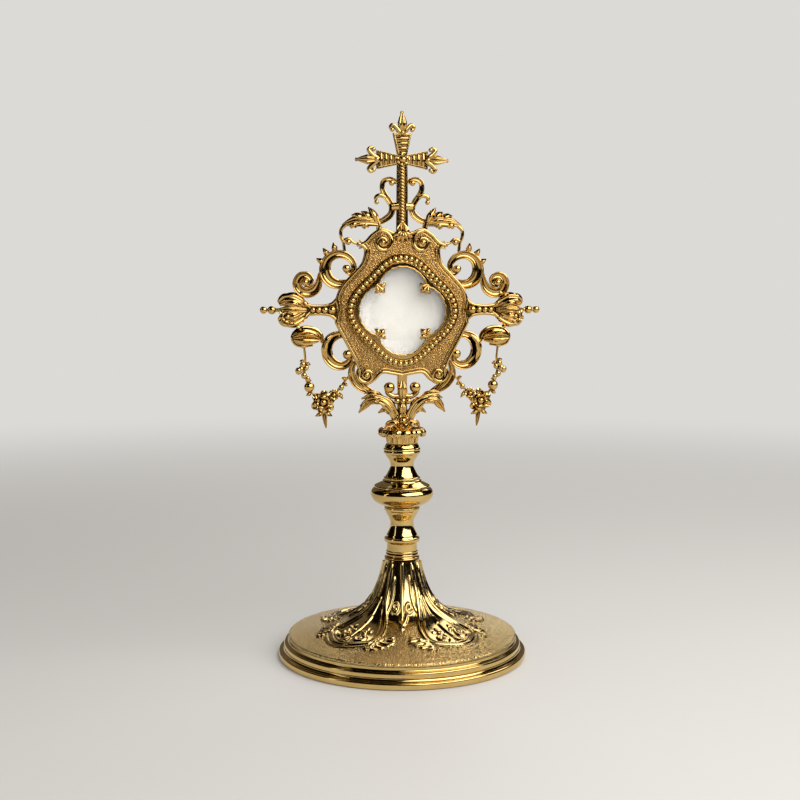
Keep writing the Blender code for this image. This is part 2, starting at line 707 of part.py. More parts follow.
def lower_volute(side):
    """Arched leaf scroll between the lower C-scroll and the bell flower, which carries the garland."""
    u, w = LOWER_VOLUTE
    size = LOWER_VOLUTE_SIZE
    arch = smooth([(u - size - 2.4, w - 2.6), (u - 0.75 * size, w + 0.45 * size), (u, w + 0.72 * size),
                   (u + 0.75 * size, w + 0.4 * size), (u + size, w - 0.3 * size),
                   (u + 0.62 * size, w - 0.66 * size), (u + 0.1 * size, w - 0.58 * size)], 2)
    solids = [tube(mirrored(arch, side), swell(len(arch), 1.1, 1.6, 1.1))]
    solids.append(ball((side * arch[-1][0], arch[-1][1]), 1.7))
    leaf = [(u - 0.6 * size, w + 0.3 * size), (u, w + 0.1 * size), (u + 0.8 * size, w)]
    solids.append(tube(mirrored(leaf, side), [1.0, 1.7, 0.9]))
    stalk = [(u + 0.4 * size, w + 0.5 * size), (FLOWER - 1.5, ARM_HEIGHT - FLOWER_SPREAD)]
    solids.append(tube(mirrored(stalk, side), [0.9, 1.0]))
    return fuse(solids)


def garland(side):
    """Hanging garland: a wire with buds, a rose and its drop, from the arched leaf to the lower scroll."""
    u, w = LOWER_VOLUTE
    start = (u + 0.1 * LOWER_VOLUTE_SIZE, w - 0.58 * LOWER_VOLUTE_SIZE)
    end = (LOWER_SCROLL[0] - 3.4, LOWER_SCROLL[1] - LOWER_SCROLL_SIZE)
    route = [start, (50.3, -25.4), (50.6, -30.0), (50.1, -34.0), (48.3, -39.3), (45.4, -43.6), ROSE,
             (36.8, -45.6), (33.7, -43.1), (30.6, -37.6), end]
    solids = [tube(mirrored(route, side), [0.8] * len(route), depth=1.0, sides=0)]
    for place, radius in (((50.9, -28.0), 2.3), ((50.1, -33.8), 1.9), ((48.3, -39.3), 2.9), ((33.7, -43.1), 2.3)):
        solids.append(ball((side * place[0], place[1]), radius))
    solids.append(ball((side * ROSE[0], ROSE[1]), 0.5 * ROSE_RADIUS, 0.9, 0.8))
    for i in range(ROSE_PETALS):
        angle = 2 * math.pi * i / ROSE_PETALS + 0.3
        reach = 0.58 * ROSE_RADIUS
        place = (side * (ROSE[0] + reach * math.cos(angle)), ROSE[1] + reach * math.sin(angle))
        solids.append(ball(place, 0.44 * ROSE_RADIUS, 0.7))
    drop = [(ROSE[0] - 0.4, ROSE[1] - 0.75 * ROSE_RADIUS), (ROSE[0] - 1.0, ROSE[1] - 1.5 * ROSE_RADIUS),
            (ROSE[0] - 1.6, ROSE[1] - 13.6)]
    solids.append(tube(mirrored(drop, side), [1.2, 2.2, 0.4]))
    return fuse(solids)


def fleur(base, direction):
    """A fleur-de-lis finial on a cross arm: a pointed middle lobe between two curls."""
    ahead = Vector(direction)
    across = Vector((ahead.y, -ahead.x))

    def run(points):
        return [tuple(Vector(base) + ahead * a + across * b) for a, b in points]

    solids = [tube(run([(-1.0, 0), (4.6, 0), (FLEUR_LENGTH, 0)]), [1.7, 2.6, 0.3])]
    for hand in (1.0, -1.0):
        curl = [(-0.4, 0), (3.0, 3.2 * hand), (4.2, 5.6 * hand), (2.2, 6.3 * hand), (1.4, 4.8 * hand)]
        solids.append(tube(run(curl), [1.7, 1.4, 1.1, 1.0, 0.8]))
    return solids


def cross():
    """Crowning cross: a flat shaft, three flaring arms with fleur-de-lis ends and a boss."""
    half = CROSS_THICKNESS / 2
    shaft = SHAFT_WIDTH / 2
    reach = CROSS_SPAN - FLEUR_LENGTH
    top = CROSS_TOP - FLEUR_LENGTH
    narrow = 1.7
    solids = [flat([[(-shaft - 0.3, PLATE_TOP - 1.5), (shaft + 0.3, PLATE_TOP - 1.5), (shaft, CROSSING - 2.0),
                     (-shaft, CROSSING - 2.0)]], half, -half)]
    upper = [(-narrow - 0.8, CROSSING - 2.6), (narrow + 0.8, CROSSING - 2.6), (ARM_FLARE, top), (-ARM_FLARE, top)]
    solids.append(flat([upper], 0.94 * half, -0.94 * half))
    for side in (1.0, -1.0):
        arm = [(0.0, CROSSING - narrow), (side * reach, CROSSING - ARM_FLARE),
               (side * reach, CROSSING + ARM_FLARE), (0.0, CROSSING + narrow)]
        solids.append(flat([arm[::int(side)]], 0.97 * half, -0.97 * half))
        solids += fleur((side * reach, CROSSING), (side, 0.0))
    solids += fleur((0.0, top), (0.0, 1.0))
    solids.append(ball((0.0, CROSSING), 2.6, 0.8, half))
    solids.append(ball((0.0, PLATE_TOP + 1.8), 3.7, 0.6, 0.5))
    rib = [(0.0, PLATE_TOP + 1.0), (0.0, CROSSING)]
    solids.append(tube(rib, [1.1, 1.0], depth=0.8, forward=half))
    return fuse(solids)


def cross_bracket(side):
    """Scroll bracket from the cross shaft over the shoulder, with a leaf and a thin stem to the scroll."""
    def limb(points, radii, per_span=1):
        path = smooth(points, per_span)
        widths = smooth([(radius,) for radius in radii], per_span)
        return tube(mirrored(path, side), [width[0] for width in widths])

    top = PLATE_TOP
    spine = [(6.1, top + 26.4), (7.2, top + 28.4), (10.2, top + 27.2), (10.9, top + 23.9), (9.8, top + 20.1),
             (6.8, top + 16.0), (5.4, top + 12.6), (6.2, top + 9.2), (9.2, top + 6.5), (13.5, top + 4.9)]
    solids = [limb(spine, [1.2, 1.1, 1.2, 1.3, 1.3, 1.2, 1.3, 1.3, 1.4, 1.6], 2)]
    solids.append(ball((side * 6.1, top + 26.4), 1.8))
    solids.append(limb([(1.0, top + 13.2), (6.0, top + 13.2)], [2.2, 1.9]))
    solids.append(limb([(9.2, top + 18.6), (12.4, top + 19.0), (14.0, top + 17.0), (12.9, top + 14.4)],
                       [0.9, 0.9, 0.9, 1.2]))
    solids.append(limb([(13.5, top + 4.9), (20.0, top + 5.4), (26.0, top + 5.0), (31.1, top + 3.7)],
                       [1.6, 2.5, 2.0, 0.7]))
    for root, tip in (((15.2, 6.0), (17.8, 12.8)), ((18.6, 6.2), (21.3, 9.6)), ((22.6, 6.0), (26.3, 8.1))):
        solids.append(limb([(root[0], top + root[1]), (tip[0], top + tip[1])], [2.0, 0.6]))
    solids.append(limb([(12.8, top + 5.4), (12.2, top + 2.6), (12.0, top - 1.2)], [1.5, 1.4, 1.4]))
    stem = [(28.6, top + 4.3), (31.0, top + 1.4), (31.3, top - 2.0), (30.6, top - 5.2),
            (UPPER_SCROLL[0] - 3.4, UPPER_SCROLL[1] + 8.4)]
    solids.append(limb(stem, [1.0, 0.8, 0.8, 0.8, 0.8]))
    solids.append(limb([(30.8, top - 4.8), (27.6, top - 5.2), (22.6, top - 6.0)], [0.7, 0.7, 0.7]))
    solids.append(ball((side * 27.6, top - 5.2), 1.7))
    return fuse(solids)


def acanthus_bracket():
    """Leafy bracket that joins the plate to the stem: a column with acanthus leaves, balls and a tang."""
    base = CALYX_TOP - WINDOW_Z
    solids = [tube([(0, base + 0.6), (0, base + 8.0), (0, base + 15.0), (0, -PLATE_BOTTOM + 2.0)],
                   [3.6, 2.6, 2.3, 3.0], depth=0.9)]
    solids.append(bar(TANG_RADIUS, (0, TANG_END, 0), (0, base + 3.0, 0), 12))
    solids.append(ball((0.0, base + 4.8), 3.7, 0.8, 1.4))
    for offset in (-2.9, 0.0, 2.9):
        solids.append(ball((offset, base + 15.0), 1.6, 1.0, 1.4))
    for side in (1.0, -1.0):
        leaf = [(2.6, base + 3.6), (6.0, base + 11.0), (10.0, base + 15.2), (14.2, base + 16.6),
                (18.6, base + 14.2), (22.7, base + 9.1)]
        finger = [(11.0, base + 15.6), (16.4, base + 17.6), (21.2, base + 16.0)]
        stalk = [(12.5, base + 16.4), (17.4, base + 20.6), (20.6, base + 23.1), (21.4, base + 27.6)]
        solids.append(tube(mirrored(leaf, side), [2.2, 2.3, 2.6, 2.4, 1.9, 0.5]))
        solids.append(tube(mirrored(finger, side), [1.8, 1.6, 0.5]))
        solids.append(tube(mirrored(stalk, side), [1.5, 1.3, 1.2, 1.2]))
        solids.append(tube(mirrored([(0.0, base + 18.3), (4.0, base + 20.1), (6.7, base + 21.9)], side),
                           [1.6, 1.3, 1.3]))
        solids.append(ball((side * 6.7, base + 21.9), 3.0))
    whole = fuse(solids)
    socket = bar(STEM_BORE, (0, TANG_END - 2.0, 0), (0, ROD_TOP - WINDOW_Z + CLEARANCE, 0), 10)
    return combine(whole, socket, "DIFFERENCE")


def tracery_opening():
    """The window's clear opening: four scalloped lobes that meet in cusps with pointed tips."""
    line = []
    steps = 9
    for lobe in range(4):
        for i in range(steps):
            angle = math.radians(90.0 * lobe - 45.0 + 90.0 * (i + 0.5) / steps)
            share = math.cos(2 * (angle - math.radians(90.0 * lobe)))
            reach = CUSP_RADIUS + (LOBE_RADIUS - CUSP_RADIUS) * max(0.0, share) ** 0.5
            line.append((reach * math.cos(angle), reach * math.sin(angle)))
        corner = math.radians(90.0 * lobe + 45.0)
        for turn, reach in ((-3.2, CUSP_RADIUS - 1.2), (-7.0, CUSP_TIP_RADIUS + 3.0),
                            (-2.4, CUSP_TIP_RADIUS + 2.2), (0.0, CUSP_TIP_RADIUS),
                            (2.4, CUSP_TIP_RADIUS + 2.2), (7.0, CUSP_TIP_RADIUS + 3.0),
                            (3.2, CUSP_RADIUS - 1.2)):
            angle = corner + math.radians(turn)
            line.append((reach * math.cos(angle), reach * math.sin(angle)))
    return line


def make_window(glory):
    """Bezel channel, pearl border, cusped tracery and front glass, stacked on the plate's window."""
    floor = FACE + CLEARANCE
    inner = WINDOW_RADIUS + LEDGE + CLEARANCE
    outer = inner + BEZEL_WIDTH
    lip = BEZEL_LIP_WIDTH
    channel = flat([window_line(outer), window_line(inner)], floor + BEZEL_LIP, floor)
    groove = flat([window_line(outer - lip), window_line(inner + lip)], floor + BEZEL_LIP + 2.0,
                  floor + BEZEL_FLOOR)
    bezel = combine(channel, groove, "DIFFERENCE")
    place_part(bezel, "window_bezel", POLISHED, glory)
    seat = floor + BEZEL_FLOOR + CLEARANCE + PEARL_RADIUS
    line = window_line(PEARL_LINE, 2 * PEARL_COUNT)
    pearls = tube(line, [PEARL_RADIUS, PEARL_NECK] * PEARL_COUNT, depth=1.0, sides=0, cyclic=True, forward=seat)
    place_part(pearls, "pearl_border", POLISHED, glory)
    tracery = flat([window_line(WINDOW_RADIUS + LEDGE), tracery_opening()], floor + TRACERY_THICKNESS, floor)
    place_part(tracery, "window_tracery", POLISHED, glory)
    pane = flat([window_line(WINDOW_RADIUS - CLEARANCE)], FACE, FACE - GLASS_THICKNESS)
    place_part(pane, "front_glass", GLASS, glory)


def make_luna(glory):
    """Luna behind the window: a grooved ring that holds the host between two glasses."""
    outer = LUNA_OUTER
    inner = outer - LUNA_WIDTH
    groove = inner + LUNA_GROOVE
    front = LUNA_FRONT
    back = front - LUNA_DEPTH
    ring = [(outer, front), (outer, back), (inner, back), (inner, back + LUNA_LIP), (groove, back + LUNA_LIP),
            (groove, front - LUNA_LIP), (inner, front - LUNA_LIP), (inner, front)]
    place_part(turned(ring, RING_SEGMENTS), "luna_ring", POLISHED, glory)
    pane = groove - CLEARANCE
    first = front - LUNA_LIP - CLEARANCE
    middle = (front + back) / 2
    last = back + LUNA_LIP + CLEARANCE
    place_part(disc(pane, first, first - GLASS_THICKNESS, RING_SEGMENTS), "luna_glass_front", GLASS, glory)
    place_part(disc(pane, last + GLASS_THICKNESS, last, RING_SEGMENTS), "luna_glass_rear", GLASS, glory)
    half = HOST_THICKNESS / 2
    place_part(disc(HOST_RADIUS, middle + half, middle - half, RING_SEGMENTS), "host", WAFER, glory)


def knuckle(low, high):
    """One hinge knuckle on the hinge axis between two heights."""
    return bar(KNUCKLE_RADIUS, (HINGE_U, low, HINGE_D), (HINGE_U, high, HINGE_D), 12)


def hinge_bore(reach):
    """The pin's bore through the knuckles."""
    radius = HINGE_PIN_RADIUS + PIN_CLEARANCE
    return bar(radius, (HINGE_U, -reach, HINGE_D), (HINGE_U, reach, HINGE_D), 12)


def make_case(glory):
    """Case tube on the back of the plate, with the two outer hinge knuckles and the pin."""
    half = KNUCKLE_LENGTH / 2
    near = half + CLEARANCE
    far = near + KNUCKLE_LENGTH
    solids = [bored([(CASE_OUTER, CASE_FRONT), (CASE_OUTER, CASE_BACK)], CASE_INNER, RING_SEGMENTS)]
    for side in (1.0, -1.0):
        low, high = sorted((side * near, side * far))
        leaf_back = HINGE_D + 0.6 * KNUCKLE_RADIUS
        solids.append(block((CASE_OUTER - 1.1 * CASE_WALL, low, leaf_back), (HINGE_U, high, leaf_back + 2.2)))
        solids.append(knuckle(low, high))
    case = combine(fuse(solids), hinge_bore(far + 1.0), "DIFFERENCE")
    room = bar(CASE_INNER, (0, 0, CASE_BACK - 6.0), (0, 0, CASE_FRONT + 0.2), RING_SEGMENTS)
    door_way = bar(CASE_OUTER + CLEARANCE, (0, 0, DOOR_BACK - 2.0), (0, 0, CASE_BACK), RING_SEGMENTS)
    case = combine(combine(case, room, "DIFFERENCE"), door_way, "DIFFERENCE")
    place_part(main_body(case), "luna_case", SATIN, glory)
    end = far + 0.6
    pin = bar(HINGE_PIN_RADIUS, (HINGE_U, -end, HINGE_D), (HINGE_U, end, HINGE_D), 12)
    place_part(pin, "hinge_pin", STEEL, glory)


def make_door(hinge):
    """Glazed rear door: a rabbeted ring with a friction spigot, a knuckle and a thumb tab."""
    spigot = CASE_INNER - CLEARANCE
    rabbet = DOOR_OPENING + DOOR_RABBET
    floor = DOOR_FRONT - DOOR_GLASS_THICKNESS - 2 * CLEARANCE
    ring = [(spigot, DOOR_FRONT + SPIGOT_DEPTH), (spigot, DOOR_FRONT), (CASE_OUTER, DOOR_FRONT),
            (CASE_OUTER, DOOR_BACK), (DOOR_OPENING, DOOR_BACK), (DOOR_OPENING, floor), (rabbet, floor),
            (rabbet, DOOR_FRONT), (spigot - SPIGOT_WALL, DOOR_FRONT),
            (spigot - SPIGOT_WALL, DOOR_FRONT + SPIGOT_DEPTH)]
    half = KNUCKLE_LENGTH / 2
    leaf = block((CASE_OUTER - 1.1 * CASE_WALL, -half, DOOR_BACK + 0.05), (HINGE_U, half, HINGE_D + 0.3))
    tab = block((-CASE_OUTER - TAB_LENGTH, -TAB_WIDTH / 2, DOOR_BACK + 0.3),
                (-CASE_OUTER + 1.0, TAB_WIDTH / 2, DOOR_FRONT - 0.3))
    door = fuse([turned(ring, RING_SEGMENTS), leaf, knuckle(-half, half), tab])
    door = combine(door, hinge_bore(half + 1.0), "DIFFERENCE")
    origin = (HINGE_U, 0.0, HINGE_D)
    place_part(main_body(door), "door_ring", SATIN, hinge, origin)
    pane_front = DOOR_FRONT - CLEARANCE
    pane = disc(rabbet - CLEARANCE, pane_front, pane_front - DOOR_GLASS_THICKNESS, RING_SEGMENTS)
    place_part(pane, "door_glass", GLASS, hinge, origin)


def make_calyx(parent, bracket):
    """Leaf crown on top of the stem, with curled leaf tips, cut back from the bracket it holds."""
    outer = [(CALYX_RADIUS, CALYX_TOP), (CALYX_RADIUS - 0.2, CALYX_TOP - 2.4), (CAP_RADIUS - 1.3, CALYX_Z + 1.6),
             (CAP_RADIUS - 1.5, CALYX_Z)]
    solids = [bored(outer, TANG_RADIUS + CLEARANCE, STEM_SEGMENTS)]
    for i in range(CALYX_LEAVES):
        angle = 2 * math.pi * (i + 0.5) / CALYX_LEAVES
        curl = ball((CALYX_RADIUS * math.cos(angle), CALYX_RADIUS * math.sin(angle)), CALYX_CURL, 1.0,
                    CALYX_TOP - 0.7 * CALYX_CURL)
        solids.append(curl)
    upright = scratch_object("bracket_upright", bracket.data.copy())
    upright.data.transform(Matrix.Translation((0, 0, WINDOW_Z * MM)) @ Matrix.Rotation(math.pi / 2, 4, "X"))
    calyx = cut(fuse(solids), [upright])
    bpy.data.objects.remove(upright, do_unlink=True)
    place_part(calyx, "calyx", POLISHED, parent)


def make_glory(stand, glory):
    """Plate, scroll-work, cross and bracket: each casting is trimmed back from what carries it."""
    cutter = plate_solid(FACE + 6.0, -FACE - 6.0)
    crown = cut(cross(), [cutter])
    bracket = cut(acanthus_bracket(), [cutter])
    make_calyx(stand, bracket)
    for side, hand in ((1.0, "right"), (-1.0, "left")):
        upper = cut(upper_scroll(side), [cutter])
        lower = cut(lower_scroll(side), [cutter])
        arm = cut(side_arm(side), [cutter])
        high_volute = cut(upper_volute(side), [upper, arm])
        low_volute = cut(lower_volute(side), [lower, arm])
        swag = cut(garland(side), [low_volute, lower])
        stay = cut(cross_bracket(side), [cutter, crown, upper])
        for solid, name in ((upper, "upper_scroll"), (lower, "lower_scroll"), (arm, "side_arm"),
                            (high_volute, "upper_volute"), (low_volute, "lower_volute"), (swag, "garland"),
                            (stay, "cross_bracket")):
            place_part(solid, name + "_" + hand, POLISHED, glory)
    place_part(crown, "cross", POLISHED, glory)
    place_part(bracket, "acanthus_bracket", POLISHED, glory)
    bpy.data.objects.remove(cutter, do_unlink=True)
    place_part(plate_solid(), "glory_plate", SATIN, glory)


def main():
    """Build the stand, then the glory on it, then the door on its hinge."""
    stand = empty("stand", None, (0, 0, 0))
    glory = empty("glory", stand, (0, 0, WINDOW_Z), (math.pi / 2, 0, 0))
    hinge = empty("door_hinge", glory, (HINGE_U, 0, HINGE_D))
    make_foot_rim(stand)
    make_foot(stand)
    make_stem(stand)
    make_tie_rod(stand)
    make_glory(stand, glory)
    make_window(glory)
    make_luna(glory)
    make_case(glory)
    make_door(hinge)


main()
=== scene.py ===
"""Looks of a small gilt monstrance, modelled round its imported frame.

Lengths are in millimetres and become metres through MM. Pieces of the stand are spun upright about
+Z. Pieces of the glory are drawn flat, x to the right, y up and z towards the viewer, from the
window's centre, and hang() turns them upright so that their front faces -Y.
"""

import logging
import math
from collections.abc import Callable, Iterable
from dataclasses import dataclass, field
from enum import Enum

import bpy
import numpy as np
from mathutils import Matrix, Vector


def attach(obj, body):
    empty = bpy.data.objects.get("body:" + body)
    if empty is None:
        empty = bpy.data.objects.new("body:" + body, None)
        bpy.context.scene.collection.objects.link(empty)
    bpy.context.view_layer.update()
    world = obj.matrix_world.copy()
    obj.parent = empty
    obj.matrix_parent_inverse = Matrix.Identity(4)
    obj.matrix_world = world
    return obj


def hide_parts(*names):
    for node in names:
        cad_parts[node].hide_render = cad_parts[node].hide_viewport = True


logging.basicConfig(level=logging.INFO, format="%(message)s")
LOG = logging.getLogger("monstrance")

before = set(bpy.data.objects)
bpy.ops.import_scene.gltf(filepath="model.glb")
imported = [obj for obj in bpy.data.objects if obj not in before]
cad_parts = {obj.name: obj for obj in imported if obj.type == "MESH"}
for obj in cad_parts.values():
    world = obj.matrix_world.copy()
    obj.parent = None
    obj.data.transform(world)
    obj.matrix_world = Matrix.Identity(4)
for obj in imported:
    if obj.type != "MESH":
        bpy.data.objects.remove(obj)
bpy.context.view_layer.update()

MM = 0.001
WINDOW_HEIGHT = 180.3
MIRROR = Matrix.Scale(-1, 4, (1, 0, 0))
HANDS = (1, -1)

# Edges sharper than these angles, in degrees, stay crisp.
TURNED_EDGE = 38.0
LEAF_EDGE = 60.0
SAWN_EDGE = 10.0

Array = np.ndarray
Line = list[tuple[float, ...]]
Place = tuple[float, float, float]
Piece = bpy.types.Object
Material = bpy.types.Material
Tree = bpy.types.NodeTree
Socket = bpy.types.NodeSocket
Surface = Callable[[Array, Array], Array]
Stroke = tuple[Array, float, float]


class Body(Enum):
    """Moving bodies of the frame."""

    STAND = "stand"
    DOOR = "rear_door"


class Slot(Enum):
    """Material slots of the record."""

    POLISHED = "polished_gilt"
    SATIN = "satin_gilt"
    GLASS = "glass"
    WAFER = "wafer"


# Finishes.


def linear(colour: str) -> tuple[float, float, float, float]:
    """Turn an sRGB hex colour to linear light.

    Args:
        colour: Colour as "#rrggbb".

    Returns:
        Red, green, blue and alpha in linear light.
    """
    channels = [int(colour[i:i + 2], 16) / 255 for i in (1, 3, 5)]
    red, green, blue = [c / 12.92 if c <= 0.04045 else ((c + 0.055) / 1.055) ** 2.4 for c in channels]
    return red, green, blue, 1.0


def add_node(tree: Tree, kind: str, inputs: dict | None = None, **settings) -> bpy.types.Node:
    """Add a shader node with its settings, and set or link its inputs.

    Args:
        tree: Node tree that gets the node.
        kind: Blender's name of the node type, without "ShaderNode".
        inputs: Values, or output sockets to link, by input name or number.
        settings: Attributes of the node.

    Returns:
        The new node.
    """
    node = tree.nodes.new("ShaderNode" + kind)
    for key, value in settings.items():
        setattr(node, key, value)
    for key, value in (inputs or {}).items():
        if isinstance(value, Socket):
            tree.links.new(value, node.inputs[key])
        else:
            node.inputs[key].default_value = value
    return node


def object_place(tree: Tree) -> Socket:
    """Add the coordinates of the object itself."""
    return add_node(tree, "TexCoord").outputs["Object"]


def noise(tree: Tree, size_mm: float, **inputs: float) -> Socket:
    """Add noise with patches of a size, and return its value."""
    places = {"Vector": object_place(tree), "Scale": 1 / (size_mm * MM)}
    return add_node(tree, "TexNoise", places | inputs).outputs["Fac"]


def mixed(tree: Tree, share: Socket, first: tuple | Socket, second: tuple | Socket) -> Socket:
    """Mix two colours by a share, and return the colour."""
    return add_node(tree, "Mix", {0: share, 6: first, 7: second}, data_type="RGBA").outputs[2]


def computed(tree: Tree, operation: str, *values: float | Socket) -> Socket:
    """Compute a value from others, and return it."""
    return add_node(tree, "Math", dict(enumerate(values)), operation=operation).outputs[0]


def ranged(tree: Tree, value: Socket, old: tuple, new: tuple = (0.0, 1.0), **settings) -> Socket:
    """Map a value from an old range to a new one, and return it."""
    limits = dict(zip(("From Min", "From Max", "To Min", "To Max"), old + new))
    return add_node(tree, "MapRange", {"Value": value} | limits, **settings).outputs[0]


def bumped(tree: Tree, height: Socket, depth_mm: float, **inputs: Socket) -> Socket:
    """Turn a height to a bumped normal, and return it."""
    return add_node(tree, "Bump", {"Height": height, "Distance": depth_mm * MM} | inputs).outputs["Normal"]


def principled(tree: Tree, **inputs: float | tuple | Socket) -> Socket:
    """Add the usual shader, its inputs named with _ for a space, and return it."""
    named_inputs = {key.replace("_", " "): value for key, value in inputs.items()}
    return add_node(tree, "BsdfPrincipled", named_inputs).outputs["BSDF"]


def seen_by(tree: Tree) -> Socket:
    """Tell rays of the camera, mirrors and glass, which see the set, from those that only light it.

    Args:
        tree: Node tree of the floor or the world.

    Returns:
        1 for rays that see the set, and 0 for the rest.
    """
    ray = add_node(tree, "LightPath").outputs
    mirrored = computed(tree, "MAXIMUM", ray["Is Glossy Ray"], ray["Is Transmission Ray"])
    return computed(tree, "MAXIMUM", ray["Is Camera Ray"], mirrored)


@dataclass(frozen=True)
class Finish:
    """Finish of one real material; each kind adds a shader of its own."""

    name: str

    def shade(self, tree: Tree) -> Socket:
        """Add the finish's nodes to a tree, and return the shader."""
        raise NotImplementedError

    def material(self) -> Material:
        """Build the node material of this finish.

        Returns:
            The material.
        """
        material = bpy.data.materials.new(self.name)
        material.use_nodes = True
        tree = material.node_tree
        tree.nodes.clear()
        add_node(tree, "OutputMaterial", {"Surface": self.shade(tree)})
        return material


@dataclass(frozen=True)
class Gilt(Finish):
    """Brass castings and spinnings, gilded and then burnished or left satin.

    Burnished gold is a clean mirror with faint swirl marks. Its recesses get painted shade: an
    occlusion mask darkens them towards a dark brown. Matted grounds are punched with fine round
    dots, which break the reflection into glitter.
    """

    bright: str
    warm: str
    # Colour of the painted shade in recesses.
    recess: str
    smoothest: float
    roughest: float
    patch_mm: float = 9.0
    grain_mm: float = 0.9
    grain_depth_mm: float = 0.02
    shade_reach_mm: float = 2.6
    matting_mm: float = 0.0
    matting_depth_mm: float = 0.0
    ground_rougher: float = 0.0

    def shade(self, tree: Tree) -> Socket:
        """Add gold with painted shade in its recesses, with its grain and any matting.

        Args:
            tree: Node tree of the material.

        Returns:
            The shader.
        """
        patches = noise(tree, self.patch_mm, Detail=4.0, Roughness=0.6)
        grain = noise(tree, self.grain_mm, Detail=3.0)
        gold = mixed(tree, patches, linear(self.bright), linear(self.warm))
        # Painted shade: ambient occlusion mixes the gold towards the recess colour in hollows.
        unshaded_share = add_node(tree, "AmbientOcclusion", {"Distance": self.shade_reach_mm * MM},
                            samples=6, only_local=True).outputs["AO"]
        colour = mixed(tree, ranged(tree, unshaded_share, (0.30, 0.80)), linear(self.recess), gold)
        roughness = ranged(tree, grain, (0.3, 0.7), (self.smoothest, self.roughest))
        normal = bumped(tree, grain, self.grain_depth_mm)
        if self.matting_mm:
            dots = add_node(tree, "TexVoronoi", {
                "Vector": object_place(tree), "Scale": 1 / (self.matting_mm * MM), "Randomness": 0.9})
            raised = add_node(tree, "Attribute", attribute_name="relief").outputs["Fac"]
            ground = ranged(tree, raised, (0.1, 0.55), (1.0, 0.0))
            depth = computed(tree, "MULTIPLY", ground, dots.outputs["Distance"])
            normal = bumped(tree, depth, self.matting_depth_mm, Normal=normal)
            roughness = computed(tree, "MULTIPLY_ADD", ground, self.ground_rougher, roughness)
        return principled(tree, Base_Color=colour, Metallic=1.0, Roughness=roughness, Normal=normal)


@dataclass(frozen=True)
class TurnedSteel(Finish):
    """Turned mild steel of the rod, washer and nut: grey, with fine tool rings along its length."""

    name: str = "turned_mild_steel"
    colour: str = "#8f9296"
    tool_ring_mm: float = 0.5
    tool_ring_depth_mm: float = 0.02

    def shade(self, tree: Tree) -> Socket:
        """Add grey metal with tool rings.

        Args:
            tree: Node tree of the material.

        Returns:
            The shader.
        """
        rings = add_node(tree, "TexWave", {
            "Vector": object_place(tree), "Scale": 1 / (20 * self.tool_ring_mm * MM), "Distortion": 1.5},
            wave_type="BANDS", bands_direction="Z").outputs["Fac"]
        return principled(tree, Base_Color=linear(self.colour), Metallic=1.0,
                          Roughness=ranged(tree, rings, (0.0, 1.0), (0.28, 0.42)),
                          Normal=bumped(tree, rings, self.tool_ring_depth_mm))


@dataclass(frozen=True)
class CutGlass(Finish):
    """Clear float glass cut to the window: nearly colourless, with a mirror-smooth face."""

    name: str = "clear_float_glass"
    colour: str = "#ffffff"

    def shade(self, tree: Tree) -> Socket:
        """Add glass that lets light for shadows straight through.

        Args:
            tree: Node tree of the material.

        Returns:
            The shader.
        """
        colour = linear(self.colour)
        glass = principled(tree, Base_Color=colour, Roughness=0.02, IOR=1.5, Transmission_Weight=1.0)
        clear = add_node(tree, "BsdfTransparent", {"Color": colour}).outputs[0]
        shadow = add_node(tree, "LightPath").outputs["Is Shadow Ray"]
        return add_node(tree, "MixShader", {0: shadow, 1: glass, 2: clear}).outputs[0]


@dataclass(frozen=True)
class BakedWafer(Finish):
    """Unleavened wafer bread, pressed and baked: matt white with a fine, slightly pitted crumb."""

    name: str = "pressed_wafer_bread"
    pale: str = "#e9e6df"
    crumb: str = "#dad6cc"
    crumb_mm: float = 0.8
    pit_depth_mm: float = 0.05

    def shade(self, tree: Tree) -> Socket:
        """Add matt bread with its pits.

        Args:
            tree: Node tree of the material.

        Returns:
            The shader.
        """
        pits = noise(tree, self.crumb_mm, Detail=4.0)
        return principled(tree, Base_Color=mixed(tree, pits, linear(self.pale), linear(self.crumb)),
                          Roughness=0.8, Normal=bumped(tree, pits, self.pit_depth_mm))


@dataclass(frozen=True)
class StudioPaper(Finish):
    """Pale, slightly silky paper of the floor, which fades into the backdrop away from the object."""

    colour: str
    backdrop: str
    fade_m: tuple[float, float] = (0.25, 1.3)

    def shade(self, tree: Tree) -> Socket:
        """Add paper that turns to the backdrop's light with distance.

        Args:
            tree: Node tree of the material.

        Returns:
            The shader.
        """
        paper = principled(tree, Base_Color=linear(self.colour), Roughness=0.55, Specular_IOR_Level=0.3)
        far_off = add_node(tree, "Emission", {"Color": linear(self.backdrop), "Strength": 1.0}).outputs[0]
        away = add_node(tree, "VectorMath", {0: object_place(tree)}, operation="LENGTH").outputs["Value"]
        fade = ranged(tree, away, self.fade_m, interpolation_type="SMOOTHSTEP")
        shown = computed(tree, "MULTIPLY", fade, seen_by(tree))
        return add_node(tree, "MixShader", {0: shown, 1: paper, 2: far_off}).outputs[0]


@dataclass(frozen=True)
class Felt(Finish):
    """Dull felt of the drapes."""

    colour: str

    def shade(self, tree: Tree) -> Socket:
        """Add a dull shader to a tree, and return it."""
        return add_node(tree, "BsdfDiffuse", {"Color": linear(self.colour)}).outputs[0]


# The third colour of each gilt is the painted shade of its recesses.
BURNISHED = Gilt("burnished_gilt_brass", "#e6cc8a", "#d3ab62", "#3a2810", 0.05, 0.13).material()
CAST = Gilt("cast_gilt_brass", "#e4c27c", "#cda157", "#33200a", 0.07, 0.15,
            grain_depth_mm=0.015, shade_reach_mm=3.2).material()
